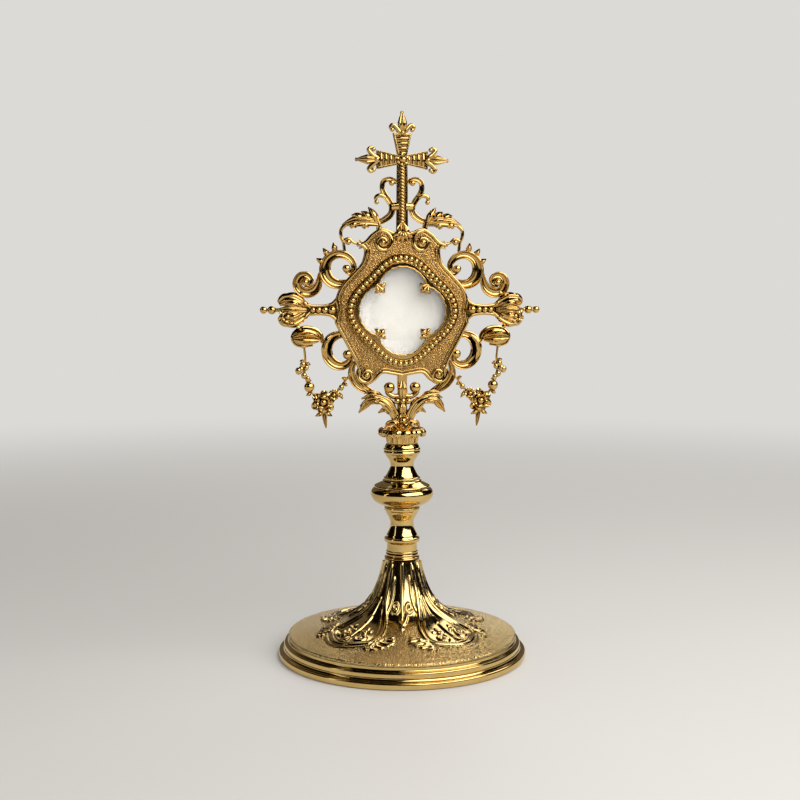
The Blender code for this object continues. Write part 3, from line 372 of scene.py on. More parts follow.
# The matting dots of the real punch are about 0.5 mm; they are drawn at 0.75 mm so that they show.
MATTED = Gilt("punch_matted_gilt_brass", "#e6cc8e", "#d2ad68", "#3a2a12", 0.08, 0.16, matting_mm=0.75,
              matting_depth_mm=0.34, ground_rougher=0.06, shade_reach_mm=1.8).material()
# Tooled gilt has darker colours than the other gilt: painted shade on the matted plate ground and the cross
# shaft.
SHADED_TOOLED = Gilt("shaded_tooled_gilt_brass", "#c69e60", "#a2763b", "#33200a", 0.12, 0.24, matting_mm=0.8,
              matting_depth_mm=0.22, ground_rougher=0.06, shade_reach_mm=2.4).material()
SATIN = Gilt("satin_gilt_brass", "#d8b370", "#b98c4a", "#33200a", 0.24, 0.34).material()
STEEL = TurnedSteel().material()
GLASS = CutGlass().material()
WAFER = BakedWafer().material()


# Bench tools: each models with Blender's own operators and returns the piece, or its points.


def fresh_start() -> None:
    """Leave edit mode and deselect everything, so that an operator acts only on what comes next."""
    if bpy.context.object and bpy.context.object.mode != "OBJECT":
        bpy.ops.object.mode_set(mode="OBJECT")
    bpy.ops.object.select_all(action="DESELECT")


def pick(piece: Piece) -> None:
    """Select one piece alone and make it active.

    Args:
        piece: The piece.
    """
    fresh_start()
    piece.select_set(True)
    bpy.context.view_layer.objects.active = piece


def named(name: str) -> Piece:
    """Name the piece that an operator has just made, and return it."""
    bpy.context.object.name = name
    return bpy.context.object


def run_lengths(line: Array) -> Array:
    """Length of a line up to each of its points."""
    return np.concatenate([[0], np.cumsum(np.linalg.norm(np.diff(line, axis=0), axis=1))])


def places_of(mesh: bpy.types.Mesh) -> Array:
    """Read the places of a mesh's vertices.

    Args:
        mesh: The mesh.

    Returns:
        The places in metres, one row each.
    """
    places = np.zeros(len(mesh.vertices) * 3)
    mesh.vertices.foreach_get("co", places)
    return places.reshape(-1, 3)


def flowing(points: Line, per_span: int = 6) -> Array:
    """Draw a smooth line through points; a point given twice is a sharp corner.

    Args:
        points: Points of any dimension.
        per_span: Steps between two points; with 1, the points themselves are the line.

    Returns:
        The line's points, one row each.
    """
    runs, run = [], [points[0]]
    for previous, point in zip(points, points[1:]):
        if point == previous:
            runs.append(run)
            run = [point]
        else:
            run.append(point)
    runs.append(run)
    drawn = []
    for stretch in runs:
        knots = np.array(stretch, float)
        when = np.concatenate([[0], np.cumsum(np.sqrt(np.linalg.norm(np.diff(knots, axis=0), axis=1)))])
        if len(knots) > 2:
            slope = np.gradient(knots, when, axis=0)
        else:
            slope = np.repeat((knots[1:] - knots[:1]) / when[1], 2, axis=0)
        step = np.linspace(0, 1, per_span, endpoint=False)[:, None]
        for i in range(len(knots) - 1):
            gap = when[i + 1] - when[i]
            drawn.append((2 * step ** 3 - 3 * step ** 2 + 1) * knots[i]
                         + (3 * step ** 2 - 2 * step ** 3) * knots[i + 1]
                         + gap * (step ** 3 - 2 * step ** 2 + step) * slope[i]
                         + gap * (step ** 3 - step ** 2) * slope[i + 1])
        drawn.append(knots[-1:])
    line = np.concatenate(drawn)
    fresh = np.concatenate([[True], np.linalg.norm(np.diff(line, axis=0), axis=1) > 1e-6])
    return line[fresh]


def curl(centre: tuple[float, float], outer: float, inner: float, start: float, sweep: float,
         count: int = 40) -> Array:
    """Draw a spiral that winds inwards.

    Args:
        centre: Its eye.
        outer: Radius where it starts.
        inner: Radius where it ends.
        start: Angle where it starts, in degrees.
        sweep: Angle that it winds, in degrees, positive against the clock.
        count: Number of points.

    Returns:
        The points, one row each.
    """
    share = np.linspace(0, 1, count)
    angle = np.radians(start + sweep * share)
    radius = outer * (inner / outer) ** share
    return np.stack([centre[0] + radius * np.cos(angle), centre[1] + radius * np.sin(angle)], axis=1)


def tidy_mesh(piece: Piece, angle: float = TURNED_EDGE) -> Piece:
    """Merge doubles, turn the faces outwards and shade the piece smooth.

    Args:
        piece: The piece.
        angle: Edges sharper than this, in degrees, stay crisp.

    Returns:
        The same piece.
    """
    pick(piece)
    bpy.ops.object.mode_set(mode="EDIT")
    bpy.ops.mesh.select_all(action="SELECT")
    bpy.ops.mesh.remove_doubles(threshold=0.004 * MM)
    bpy.ops.mesh.normals_make_consistent(inside=False)
    bpy.ops.object.mode_set(mode="OBJECT")
    bpy.ops.object.shade_smooth_by_angle(angle=math.radians(angle))
    return piece


def spun(name: str, profile: Array, steps: int = 96) -> Piece:
    """Spin a profile round the upright axis, as on a lathe.

    Args:
        name: Name of the piece.
        profile: Points (radius, height) in mm. One that ends where it starts gives a ring.
        steps: Facets round the axis.

    Returns:
        The piece.
    """
    fresh_start()
    bpy.ops.mesh.primitive_plane_add(size=MM)
    piece = named(name)
    bpy.ops.object.mode_set(mode="EDIT")
    bpy.ops.mesh.merge(type="CENTER")
    bpy.ops.transform.translate(value=(profile[0][0] * MM, 0, profile[0][1] * MM))
    for near, far in zip(profile, profile[1:]):
        step = ((far[0] - near[0]) * MM, 0, (far[1] - near[1]) * MM)
        bpy.ops.mesh.extrude_vertices_move(TRANSFORM_OT_translate={"value": step})
    bpy.ops.mesh.select_all(action="SELECT")
    bpy.ops.mesh.spin(steps=steps, angle=math.tau, center=(0, 0, 0), axis=(0, 0, 1))
    bpy.ops.object.mode_set(mode="OBJECT")
    return tidy_mesh(piece)


def drawn_curve(name: str, lines: list[Array], radii: Array | None = None, cyclic: bool = True) -> Piece:
    """Draw a curve with one spline for each line.

    Args:
        name: Name of the curve.
        lines: Lines of two or three coordinates a point, in mm.
        radii: Scale of the section at each point, or None for 1.
        cyclic: Whether the lines close.

    Returns:
        The curve object.
    """
    fresh_start()
    bpy.ops.curve.primitive_nurbs_path_add(location=(0, 0, 0))
    curve = named(name)
    curve.data.splines.clear()
    for line in lines:
        spline = curve.data.splines.new("POLY")
        spline.points.add(len(line) - 1)
        places = np.zeros((len(line), 4))
        places[:, :line.shape[1]] = line * MM
        places[:, 3] = 1.0
        spline.points.foreach_set("co", places.ravel())
        if radii is not None:
            spline.points.foreach_set("radius", radii)
        spline.use_cyclic_u = cyclic
    return curve


def as_mesh(curve: Piece) -> Piece:
    """Turn a curve to a mesh.

    Args:
        curve: The curve object.

    Returns:
        The mesh object.
    """
    pick(curve)
    bpy.ops.object.convert(target="MESH")
    return bpy.context.object


def swept(name: str, points: Array, widths: list[float], section: Line, cyclic: bool = False,
          upright: bool = True) -> Piece:
    """Draw a section along a line, as a moulding or wire that swells and tapers.

    Args:
        name: Name of the piece.
        points: The line, two or three coordinates each, in mm.
        widths: Half-widths in mm, spread evenly along the line.
        section: Section (across, forward) in half-widths, listed with the clock.
        cyclic: Whether the line closes.
        upright: Whether the section's front keeps facing the viewer.

    Returns:
        The piece.
    """
    length = run_lengths(points)
    radii = np.interp(length / length[-1], np.linspace(0, 1, len(widths)), widths)
    outline = drawn_curve(name + "_section", [np.array(section) / MM])
    outline.data.dimensions = "2D"
    path = drawn_curve(name, [points], radii * MM, cyclic)
    path.data.twist_mode = "Z_UP" if upright else "MINIMUM"
    path.data.bevel_mode = "OBJECT"
    path.data.bevel_object = outline
    path.data.use_fill_caps = not cyclic
    piece = as_mesh(path)
    bpy.data.objects.remove(outline)
    return tidy_mesh(piece)


def sheet(name: str, rows: int, columns: int, surface: Surface, thickness: float) -> Piece:
    """Shape a grid to a surface and give it a wall, as a leaf or petal.

    Args:
        name: Name of the piece.
        rows: Steps along the piece.
        columns: Steps across it.
        surface: Gives points (mm, one row each) for arrays along 0 to 1 and across -1 to 1.
        thickness: Wall in mm, grown backwards.

    Returns:
        The piece.
    """
    fresh_start()
    bpy.ops.mesh.primitive_grid_add(x_subdivisions=columns, y_subdivisions=rows, size=2)
    piece = named(name)
    flat = places_of(piece.data)
    piece.data.vertices.foreach_set("co", (surface((flat[:, 1] + 1) / 2, flat[:, 0]) * MM).ravel())
    wall = piece.modifiers.new("wall", "SOLIDIFY")
    wall.thickness = thickness * MM
    wall.offset = -1.0
    pick(piece)
    bpy.ops.object.modifier_apply(modifier=wall.name)
    return tidy_mesh(piece, LEAF_EDGE)


def bead(name: str, place: Place, radius: float, long: float = 1.0) -> Piece:
    """Model a cast bead with a flat seat at its back.

    Args:
        name: Name of the piece.
        place: Its centre in mm, from the window's centre.
        radius: Its radius in mm.
        long: Its height over its width.

    Returns:
        The piece.
    """
    fresh_start()
    bpy.ops.mesh.primitive_uv_sphere_add(segments=20, ring_count=12, radius=radius * MM)
    piece = named(name)
    bpy.ops.object.mode_set(mode="EDIT")
    bpy.ops.transform.resize(value=(1.0, long, 0.92))
    bpy.ops.mesh.select_all(action="SELECT")
    bpy.ops.mesh.bisect(plane_co=(0, 0, -0.7 * radius * MM), plane_no=(0, 0, 1), use_fill=True,
                        clear_inner=True)
    bpy.ops.mesh.select_all(action="SELECT")
    bpy.ops.transform.translate(value=[c * MM for c in place])
    bpy.ops.object.mode_set(mode="OBJECT")
    return tidy_mesh(piece)


def copied(piece: Piece, change: Matrix, name: str) -> Piece:
    """Copy a piece with a mesh of its own, and change that mesh.

    Args:
        piece: The piece.
        change: What is done to the copy's mesh.
        name: Name of the copy.

    Returns:
        The copy.
    """
    twin = piece.copy()
    twin.data = piece.data.copy()
    twin.name = name
    bpy.context.scene.collection.objects.link(twin)
    twin.data.transform(change)
    if change.determinant() < 0:
        twin.data.flip_normals()
    return twin


def repeated(piece: Piece, changes: Iterable[Matrix]) -> list[Piece]:
    """Put a copy of a piece at each change, in place of the piece itself.

    Args:
        piece: The piece, which is taken away.
        changes: One change for each copy.

    Returns:
        The copies.
    """
    copies = [copied(piece, change, piece.name) for change in changes]
    bpy.data.objects.remove(piece)
    return copies


def turns(count: int, first: float = 0.0) -> list[Matrix]:
    """Even turns round the axis; the first is in degrees."""
    return [Matrix.Rotation(math.radians(first + 360 * i / count), 4, "Z") for i in range(count)]


def joined(name: str, pieces: list[Piece]) -> Piece:
    """Join pieces into one object.

    Args:
        name: Name of the whole.
        pieces: The pieces.

    Returns:
        The whole.
    """
    pick(pieces[0])
    for piece in pieces:
        piece.select_set(True)
    bpy.ops.object.join()
    whole = named(name)
    whole.data.name = name
    return whole


def hang(piece: Piece) -> Piece:
    """Turn a piece that was drawn flat upright round the window's centre, in its mesh.

    Args:
        piece: The piece.

    Returns:
        The same piece.
    """
    raised = Matrix.Translation((0, 0, WINDOW_HEIGHT * MM))
    piece.data.transform(raised @ Matrix.Rotation(math.pi / 2, 4, "X"))
    return piece


def dress(piece: Piece, material: Material | None, node: str, body: Body = Body.STAND) -> None:
    """Give a finished piece its material and body, and hide the frame node that it stands for.

    Args:
        piece: The finished piece.
        material: Its finish, or None for a piece that already has its own.
        node: Frame node that it stands for.
        body: Body that it moves with.
    """
    if material:
        piece.data.materials.clear()
        piece.data.materials.append(material)
    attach(piece, body.value)
    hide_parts(node)
    LOG.info("%s: %d faces, for %s", piece.name, len(piece.data.polygons), node)


def keep(node: str, material: Material) -> None:
    """Keep a frame node whose own shape is right, with a better finish.

    Args:
        node: The node.
        material: Its finish.
    """
    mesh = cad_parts[node].data
    mesh.materials.clear()
    mesh.materials.append(material)
    LOG.info("%s: kept", node)


# The stand.


@dataclass
class Relief:
    """Chased relief of the foot, drawn on half a panel as (radius, distance across) in mm."""

    cartouche_turn: float = -54.0
    panels: int = 4
    height: float = 1.15
    # Flank of a cartouche's border, and the arc that closes it.
    flank: tuple = ((10.5, 2.2), (14, 3.2), (17, 4.7), (20, 6.8), (23, 9.2), (26, 11.2), (29, 13.0),
                    (32, 14.4), (35, 15.5), (37.5, 15.7))
    arc: tuple = ((37.5, 15.7), (39.8, 14.6), (41.2, 12.4), (42.6, 9.6), (44, 6.2), (45, 3.0), (45.2, 0.0))

    def cartouche(self) -> list[Stroke]:
        """Draw half a cartouche with its spray, berries, flower and stem.

        Returns:
            Strokes, each a line, its half-width and its share of the full height.
        """
        border = [
            (self.flank + self.arc[1:], 1.15, 1.0),
            ([(16, 2.4), (20, 4.4), (23, 6.6), (26, 8.6), (29, 10.4), (32, 11.8), (35, 12.8), (37, 12.8),
              (38.8, 11.6), (40, 9.6), (41.2, 7.0), (42.2, 3.6), (42.6, 0.0)], 0.6, 0.5),
            ([(42.2, 15.4), (44.0, 12.8), (45.6, 9.8), (47.0, 6.4), (48.0, 3.2), (48.2, 0.0)], 0.8, 0.7)]
        spray = [
            ([(38.0, 18.8), (39.4, 22.4), (39.0, 26.0)], 1.25, 1.0),
            ([(37.0, 18.8), (36.2, 21.8), (36.6, 24.6)], 1.1, 0.9),
            ([(39.4, 18.4), (42.2, 20.8), (43.2, 24.0)], 1.2, 1.0),
            ([(40.2, 17.2), (43.4, 18.2), (45.6, 20.6)], 1.1, 0.9),
            ([(36.2, 18.0), (34.2, 19.6), (33.8, 22.0)], 0.95, 0.8)]
        berries = [
            ([(42.4, 18.6), (42.8, 18.9)], 1.2, 1.0), ([(44.6, 16.4), (45.0, 16.6)], 1.1, 0.95),
            ([(46.4, 18.4), (46.8, 18.6)], 1.0, 0.9), ([(44.8, 21.4), (45.2, 21.6)], 1.0, 0.9),
            ([(41.2, 25.2), (41.5, 25.5)], 1.0, 0.9), ([(39.4, 0.0), (40.6, 0.0)], 1.8, 1.0)]
        flower = [
            ([(31.4, 5.2), (31.6, 5.2)], 1.1, 1.0), ([(33.3, 5.8), (33.7, 5.9)], 0.95, 0.75),
            ([(31.1, 7.2), (31.0, 7.6)], 0.95, 0.75), ([(29.5, 4.8), (29.1, 4.7)], 0.95, 0.75),
            ([(31.9, 3.2), (32.0, 2.8)], 0.95, 0.75)]
        stem = [([(36.6, 0.0), (27.4, 0.0)], 1.1, 0.85), ([(25.6, 0.0), (22.8, 0.0)], 1.4, 0.9),
                ([(21.6, 0.0), (15.4, 0.0)], 0.6, 0.55)]
        curls = [(curl((38.0, 18.0), 2.4, 0.7, 180, -460), 0.75, 0.95),
                 (curl((36.6, 7.2), 3.9, 1.1, 200, 470), 1.0, 0.9)]
        drawn = border + spray + berries + flower + stem
        return curls + [(flowing(line, 4), half, share) for line, half, share in drawn]

    def gap_ornament(self) -> list[Stroke]:
        """Draw half the ornament between two cartouches.

        Returns:
            Strokes, in the same form.
        """
        drawn = [([(9.5, 0.0), (22.0, 0.0)], 0.8, 0.7),
                 ([(11.5, 4.0), (14.0, 4.6), (17.6, 6.6), (21.5, 9.6)], 0.7, 0.6),
                 ([(21.0, 2.4), (23.4, 1.6), (25.6, 0.0)], 0.9, 0.85), ([(24.0, 0.0), (27.2, 0.0)], 1.2, 0.8)]
        curls = [(curl((17.6, 3.4), 2.3, 0.6, 60, -470), 0.6, 0.85)]
        return curls + [(flowing(line, 4), half, share) for line, half, share in drawn]

    @staticmethod
    def raised(radius: Array, side: Array, line: Array, half_width: float) -> Array:
        """Height of a half-round stroke, from 0 to 1.

        Args:
            radius: Radius of each point.
            side: Distance of each point from the panel's axis.
            line: The stroke's line, as (radius, across).
            half_width: Half the stroke's width.

        Returns:
            Share of the full height at each point.
        """
        nearest = np.full(radius.shape, 1e9)
        for (r0, c0), (r1, c1) in zip(line, line[1:]):
            length = max((r1 - r0) ** 2 + (c1 - c0) ** 2, 1e-9)
            share = np.clip(((radius - r0) * (r1 - r0) + (side - c0) * (c1 - c0)) / length, 0, 1)
            gap = np.hypot(radius - r0 - share * (r1 - r0), side - c0 - share * (c1 - c0))
            nearest = np.minimum(nearest, gap)
        return np.sqrt(np.clip(1 - (nearest / half_width) ** 2, 0, 1))

    def side(self, radius: Array, angle: Array, turn: float = 0.0) -> Array:
        """Distance of points from the axis of the nearest panel.

        Args:
            radius: Radius of each point, in mm.
            angle: Angle of each point, in degrees.
            turn: Turn of the panels from the cartouches, in degrees.

        Returns:
            The distance at each point, in mm.
        """
        pitch = 360 / self.panels
        off_axis = (angle - self.cartouche_turn + turn + pitch / 2) % pitch - pitch / 2
        return np.abs(np.radians(off_axis) * radius)

    def polished(self, radius: Array, angle: Array) -> Array:
        """Tell which points lie inside a cartouche, where the ground is polished, not matted.

        Args:
            radius: Radius of each point, in mm.
            angle: Angle of each point, in degrees.

        Returns:
            True or False at each point.
        """
        side = self.side(radius, angle)
        reach, half = np.array(self.flank).T
        end, across = np.array(self.arc[::-1]).T
        return (side < np.interp(radius, reach, half)) & (radius < np.interp(side, across, end))

    def share(self, radius: Array, angle: Array) -> Array:
        """Height of the whole relief, as a share of the full height.

        Args:
            radius: Radius of each point, in mm.
            angle: Angle of each point, in degrees.

        Returns:
            The share at each point.
        """
        half_pitch = 180 / self.panels
        heights = []
        for turn, strokes in ((0.0, self.cartouche()), (half_pitch, self.gap_ornament())):
            side = self.side(radius, angle, turn)
            heights += [share * self.raised(radius, side, line, half) for line, half, share in strokes]
        return np.max(heights, axis=0)


@dataclass
class Foot:
    """Spun foot with its chased relief, on a stepped rim ring."""

    radius: float = 65.0
    platter: float = 59.0
    inside: float = 57.0
    neck: float = 9.1
    rim_top: float = 11.3
    height: float = 50.5
    wall: float = 1.4
    deck: float = 47.5
    bore: float = 2.6
    rings: int = 150
    steps: int = 540
    smooth_share: float = 0.6
    smooth_neck: tuple[float, float] = (22.0, 32.0)
    relief: Relief = field(default_factory=Relief)

    def surface(self, radius: Array) -> Array:
        """Height of the trumpet-shaped upper face at a radius."""
        rise = (self.height - self.rim_top) / (1 / self.neck - 1 / self.platter)
        return self.rim_top + rise * (1 / radius - 1 / self.platter)

    def build_rim(self) -> None:
        """Spin the three polished bands of the rim, with a cove between each two."""
        top = 9.6
        bands = [(0.7, 0.0), (0.7, 0.0), (0.15, 0.3), (0.0, 0.9), (0.0, 2.2), (0.25, 3.0), (0.9, 3.3),
                 (0.9, 3.3), (2.4, 3.5), (3.0, 4.2), (3.1, 4.6), (3.1, 4.6), (2.85, 5.0), (2.8, 6.2),
                 (3.0, 7.2), (3.5, 7.6), (3.5, 7.6), (4.6, 7.75), (5.1, 8.2), (5.2, 8.6), (5.2, 8.6),
                 (5.1, top), (5.1, top)]
        profile = [(self.inside, 0.0)] + [(self.radius - step_in, up) for step_in, up in bands]
        profile += [(self.inside, top), (self.inside, top), (self.inside, 0.0)]
        dress(spun("foot_rim_bands", flowing(profile, 5), 192), BURNISHED, "foot_rim")

    def spin_body(self) -> Piece:
        """Spin the platter and trumpet in one wall, with its rings spaced evenly along its face.

        Returns:
            The body, still without its relief.
        """
        dense = np.linspace(self.neck, self.platter, 2000)
        arc = run_lengths(np.stack([dense, self.surface(dense)], axis=1))
        reach = np.interp(np.linspace(0, arc[-1], self.rings), arc, dense)
        face = np.stack([reach, self.surface(reach)], axis=1)
        edge = flowing([(59.4, 11.25), (59.8, 10.9), (59.85, 10.4), (59.85, 9.9), (59.85, 9.9),
                        (self.inside, 9.9)], 3)
        inner = np.array([46.0, 36.0, 28.0, 20.0, 15.0, 12.5])
        under = np.stack([inner - self.wall, self.surface(inner) - self.wall], axis=1)
        deck = np.array([(8.1, self.deck), (self.bore, self.deck), (self.bore, self.height), face[0]])
        return spun("foot_body", np.concatenate([face, edge, under, deck]), self.steps)

    def build_body(self) -> None:
        """Raise the chased relief on the face of the spun body, and mark where it is polished."""
        foot = self.spin_body()
        mesh = foot.data
        places = places_of(mesh)
        radius = np.hypot(places[:, 0], places[:, 1]) / MM
        angle = np.arctan2(places[:, 1], places[:, 0])
        off_axis, bearing = np.maximum(radius, 1.0), np.degrees(angle)
        on_face = (radius > self.neck + 0.2) & (radius < self.platter - 0.5)
        on_face &= places[:, 2] / MM > self.surface(off_axis) - 0.4
        share = np.where(on_face, self.relief.share(off_axis, bearing), 0.0)
        probe = np.linspace(8.0, 60.0, 500)
        steep = np.interp(radius, probe, np.gradient(self.surface(probe), probe))
        outward = np.stack([-steep * np.cos(angle), -steep * np.sin(angle), np.ones_like(steep)], axis=1)
        outward /= np.linalg.norm(outward, axis=1)[:, None]
        places += outward * (share * self.relief.height * MM)[:, None]
        mesh.vertices.foreach_set("co", places.ravel())
        smooth = np.maximum(share, self.smooth_share * self.relief.polished(off_axis, bearing))
        smooth = np.maximum(smooth, np.interp(radius, self.smooth_neck, [self.smooth_share, 0.0]))
        raised = mesh.attributes.new("relief", "FLOAT", "POINT")
        raised.data.foreach_set("value", smooth.astype(np.float32))
        dress(foot, MATTED, "foot")

    def build(self) -> None:
        """Build the rim and the body."""
        self.build_rim()
        self.build_body()


@dataclass
class Stem:
    """Turned stem pieces, threaded on the tie rod."""

    bore: float = 2.6
    steps: int = 128

    def turn(self, node: str, base: float, outline: Line, material: Material = BURNISHED,
             slot: Slot = Slot.POLISHED) -> None:
        """Spin one bored piece of the stem.

        Args:
            node: Frame node that it stands for.
            base: Height of its bottom.
            outline: Outer line from bottom to top, as (radius, height above base).
            material: Its finish.
            slot: Slot of that finish; not used.
        """
        line = flowing([(r, base + h) for r, h in outline], 6)
        bore = np.array([(self.bore, line[-1][1]), (self.bore, line[0][1]), line[0]])
        dress(spun(node + "_turned", np.concatenate([line, bore]), self.steps), material, node)

    def build(self) -> None:
        """Turn the collar, both stems, the knop and the cap."""
        self.turn("foot_collar", 50.8, [
            (9.0, 0.0), (9.25, 0.35), (9.1, 0.8), (9.1, 0.8), (8.5, 1.1), (8.25, 1.6), (8.2, 2.1), (8.2, 2.1),
            (8.5, 2.35), (8.3, 2.7)], CAST, Slot.SATIN)
        self.turn("lower_stem", 53.8, [
            (7.9, 0.0), (8.3, 0.3), (8.35, 0.9), (8.0, 1.3), (8.0, 1.3), (8.0, 5.0), (8.3, 5.6), (8.3, 5.6),
            (8.9, 5.8), (9.35, 6.6), (9.4, 7.3), (9.2, 8.0), (8.6, 8.3), (8.6, 8.3), (8.3, 8.9), (8.1, 9.6),
            (7.4, 11.0), (6.7, 12.6), (6.2, 14.4), (6.1, 15.6), (6.4, 17.2), (7.2, 19.0), (8.2, 20.8),
            (8.75, 22.2), (8.75, 22.2), (9.2, 22.6), (9.4, 23.3), (9.3, 24.0), (9.0, 24.4)])
        self.turn("knop", 78.5, [
            (9.2, 0.0), (10.8, 0.6), (12.7, 1.5), (14.6, 2.8), (15.9, 4.6), (16.5, 6.6), (16.3, 7.9),
            (15.6, 9.0), (14.4, 10.0), (14.4, 10.0), (14.65, 10.35), (14.5, 10.9), (13.9, 11.3), (13.9, 11.3),
            (12.6, 11.9), (11.2, 12.6), (10.4, 13.1), (10.4, 13.1), (10.2, 13.6), (9.6, 14.1)])
        self.turn("upper_stem", 92.9, [
            (9.6, 0.0), (9.6, 0.5), (8.9, 1.1), (8.9, 1.1), (8.2, 2.1), (7.2, 4.0), (6.4, 5.8), (6.1, 7.2),
            (6.3, 8.6), (7.0, 10.0), (8.1, 11.6), (8.9, 13.0), (8.9, 13.0), (9.4, 13.4), (9.65, 14.1),
            (9.4, 14.8)])
        self.turn("stem_cap", 108.0, [
            (9.5, 0.0), (9.75, 0.4), (9.6, 0.9), (9.2, 1.2), (9.2, 1.2), (9.1, 1.7), (8.8, 2.4), (8.2, 3.3)])
        for node in ("tie_rod", "tie_rod_washer", "tie_rod_nut"):
            keep(node, STEEL)


# The glory's sections and shared shapes.


def both_edges(half: Line) -> Line:
    """Mirror half a section, listed from its left edge to its middle."""
    return half + [(-across, forward) for across, forward in half[-2::-1]]


ROUND: Line = [(math.cos(a), -math.sin(a)) for a in np.linspace(0, math.tau, 14, endpoint=False)]
DOME: Line = [(-math.cos(a), 0.9 * math.sin(a)) for a in np.linspace(0, math.pi, 9)]
HALF_ROUND: Line = [(-1.0, -0.5)] + DOME + [(1.0, -0.5)]
# A band with two raised edges and a hollow between them.
TROUGH = both_edges([(-0.92, -0.5), (-1.0, 0.2), (-0.94, 0.44), (-0.82, 0.52), (-0.68, 0.44), (-0.52, 0.14),
                     (-0.28, -0.04), (0.0, -0.1)])
# A band with three rounded reeds along it.
REEDED = both_edges([(-0.92, -0.45), (-1.0, 0.0), (-0.85, 0.28), (-0.66, 0.36), (-0.48, 0.26), (-0.36, 0.1),
                     (-0.24, 0.38), (0.0, 0.56)])


def at(line: Array | Line, depth: float | tuple[float, float]) -> Array:
    """Set a flat line at a depth, or from one depth to another, forward of the plate's middle."""
    depths = np.linspace(*depth, len(line)) if isinstance(depth, tuple) else np.full(len(line), depth)
    return np.column_stack([np.array(line, float), depths])


def inset(line: Array, gap: float) -> Array:
    """Move a closed line inwards.

    Args:
        line: The line, which runs with the clock.
        gap: How far it moves.

    Returns:
        The new line.
    """
    ahead = np.roll(line, -1, axis=0) - np.roll(line, 1, axis=0)
    ahead /= np.linalg.norm(ahead, axis=1)[:, None]
    return line + gap * np.stack([ahead[:, 1], -ahead[:, 0]], axis=1)


def window_line(radius: float, count: int = 176, lobe: float = 1.9) -> Array:
    """Draw the four-lobed line that the plate, bezel, pearls and glass share.

    Args:
        radius: Its mean radius.
        count: Number of points.
        lobe: How far its lobes swing in and out.

    Returns:
        The points, one row each.
    """
    angle = np.linspace(0, math.tau, count, endpoint=False)
    reach = radius + lobe * np.cos(4 * angle)
    return np.stack([reach * np.cos(angle), reach * np.sin(angle)], axis=1)


def sawn(name: str, outlines: list[Array], front: float, back: float, edge: float = 0.2) -> Piece:
    """Saw a flat shape with its holes out of plate and ease its edges.

    Args:
        name: Name of the piece.
        outlines: Outline, then holes.
        front: Depth of its front face.
        back: Depth of its back face.
        edge: Radius of the eased edges.

    Returns:
        The piece.
    """
    curve = drawn_curve(name, outlines)
    curve.data.dimensions = "2D"
    curve.data.fill_mode = "BOTH"
    curve.data.bevel_depth = edge * MM
    curve.data.bevel_resolution = 2
    curve.data.offset = -edge * MM
    curve.data.extrude = ((front - back) / 2 - edge) * MM
    piece = as_mesh(curve)
    piece.data.transform(Matrix.Translation((0, 0, (front + back) / 2 * MM)))
    return tidy_mesh(piece, SAWN_EDGE)


def leaf(name: str, spine: Line, widths: list[float], arch: float = 0.45, ribs: int = 3, lobes: int = 0,
         notch: float = 0.0, thickness: float = 0.9, rows: int = 36) -> Piece:
    """Model a cast leaf or petal along a spine, with ribs and a lobed edge.

    Args:
        name: Name of the piece.
        spine: Points (right, up, forward) from root to tip.
        widths: Half-widths, spread evenly along the spine.
        arch: Height of its cross curve over its half-width.
        ribs: Number of ribs along it.
        lobes: Number of lobes along each edge.
        notch: Depth of the cuts between lobes, as a share of the half-width.
        thickness: Wall in mm.
        rows: Steps along it.

    Returns:
        The piece.
    """
    line = flowing(spine, 10)
    length = run_lengths(line)
    along = length / length[-1]
    ahead = np.gradient(line[:, :2], length, axis=0)
    ahead /= np.maximum(np.linalg.norm(ahead, axis=1), 1e-9)[:, None]

    def surface(share: Array, across: Array) -> Array:
        """Shape the leaf's front face.

        Args:
            share: Share of the way from root to tip.
            across: Place across the leaf, from -1 to 1.

        Returns:
            The points, one row each.
        """
        middle = np.stack([np.interp(share, along, line[:, k]) for k in range(3)], axis=1)
        way = np.stack([np.interp(share, along, ahead[:, k]) for k in range(2)], axis=1)
        half = np.interp(share, np.linspace(0, 1, len(widths)), widths)
        cut = notch * (1 - np.abs(np.sin(lobes * math.pi * share))) * across ** 2 if lobes else 0.0
        reach = across * half * (1 - cut)
        middle[:, 0] += way[:, 1] * reach
        middle[:, 1] -= way[:, 0] * reach
        wave = 0.13 * half * np.cos(ribs * math.tau * across / 2) * (1 - 0.5 * across ** 2)
        middle[:, 2] += arch * half * (1 - across ** 2) + wave
        return middle

    return sheet(name, rows, 18, surface, thickness)


def rosette(name: str, centre: Place, radius: float, layers: Line, eye: float) -> Piece:
    """Model a layered flower.

    Args:
        name: Name of the piece.
        centre: Its middle (right, up, forward).
        radius: Reach of its widest petals.
        layers: Petal layers as (count, share of the reach, rise over the reach, turn in degrees).
        eye: Radius of the bud in its middle.

    Returns:
        The piece.
    """
    parts = [bead(name + "_eye", (0, 0, 0.4 * radius), eye)]
    for count, share, rise, turn in layers:
        reach = radius * share
        half = 1.15 * math.pi * 0.62 * reach / count

        def surface(along: Array, across: Array) -> Array:
            """Shape one petal, which cups forward and rolls back at its lip.

            Args:
                along: Share of the way from root to lip.
                across: Place across the petal, from -1 to 1.

            Returns:
                The points, one row each.
            """
            spread = half * np.sin(math.pi * np.clip(0.12 + 0.74 * along, 0, 1)) * across
            out = reach * along * (1 - 0.12 * across ** 2)
            lip = 0.25 * reach * np.clip(along - 0.8, 0, 1)
            lift = rise * reach * np.sin(0.62 * math.pi * along) + 0.28 * half * across ** 2 - lip
            return np.stack([spread, out, lift], axis=1)

        parts += repeated(sheet(name + "_petal", 10, 10, surface, 0.5), turns(int(count), turn))
    whole = joined(name, parts)
    whole.data.transform(Matrix.Translation([c * MM for c in centre]))
    return whole


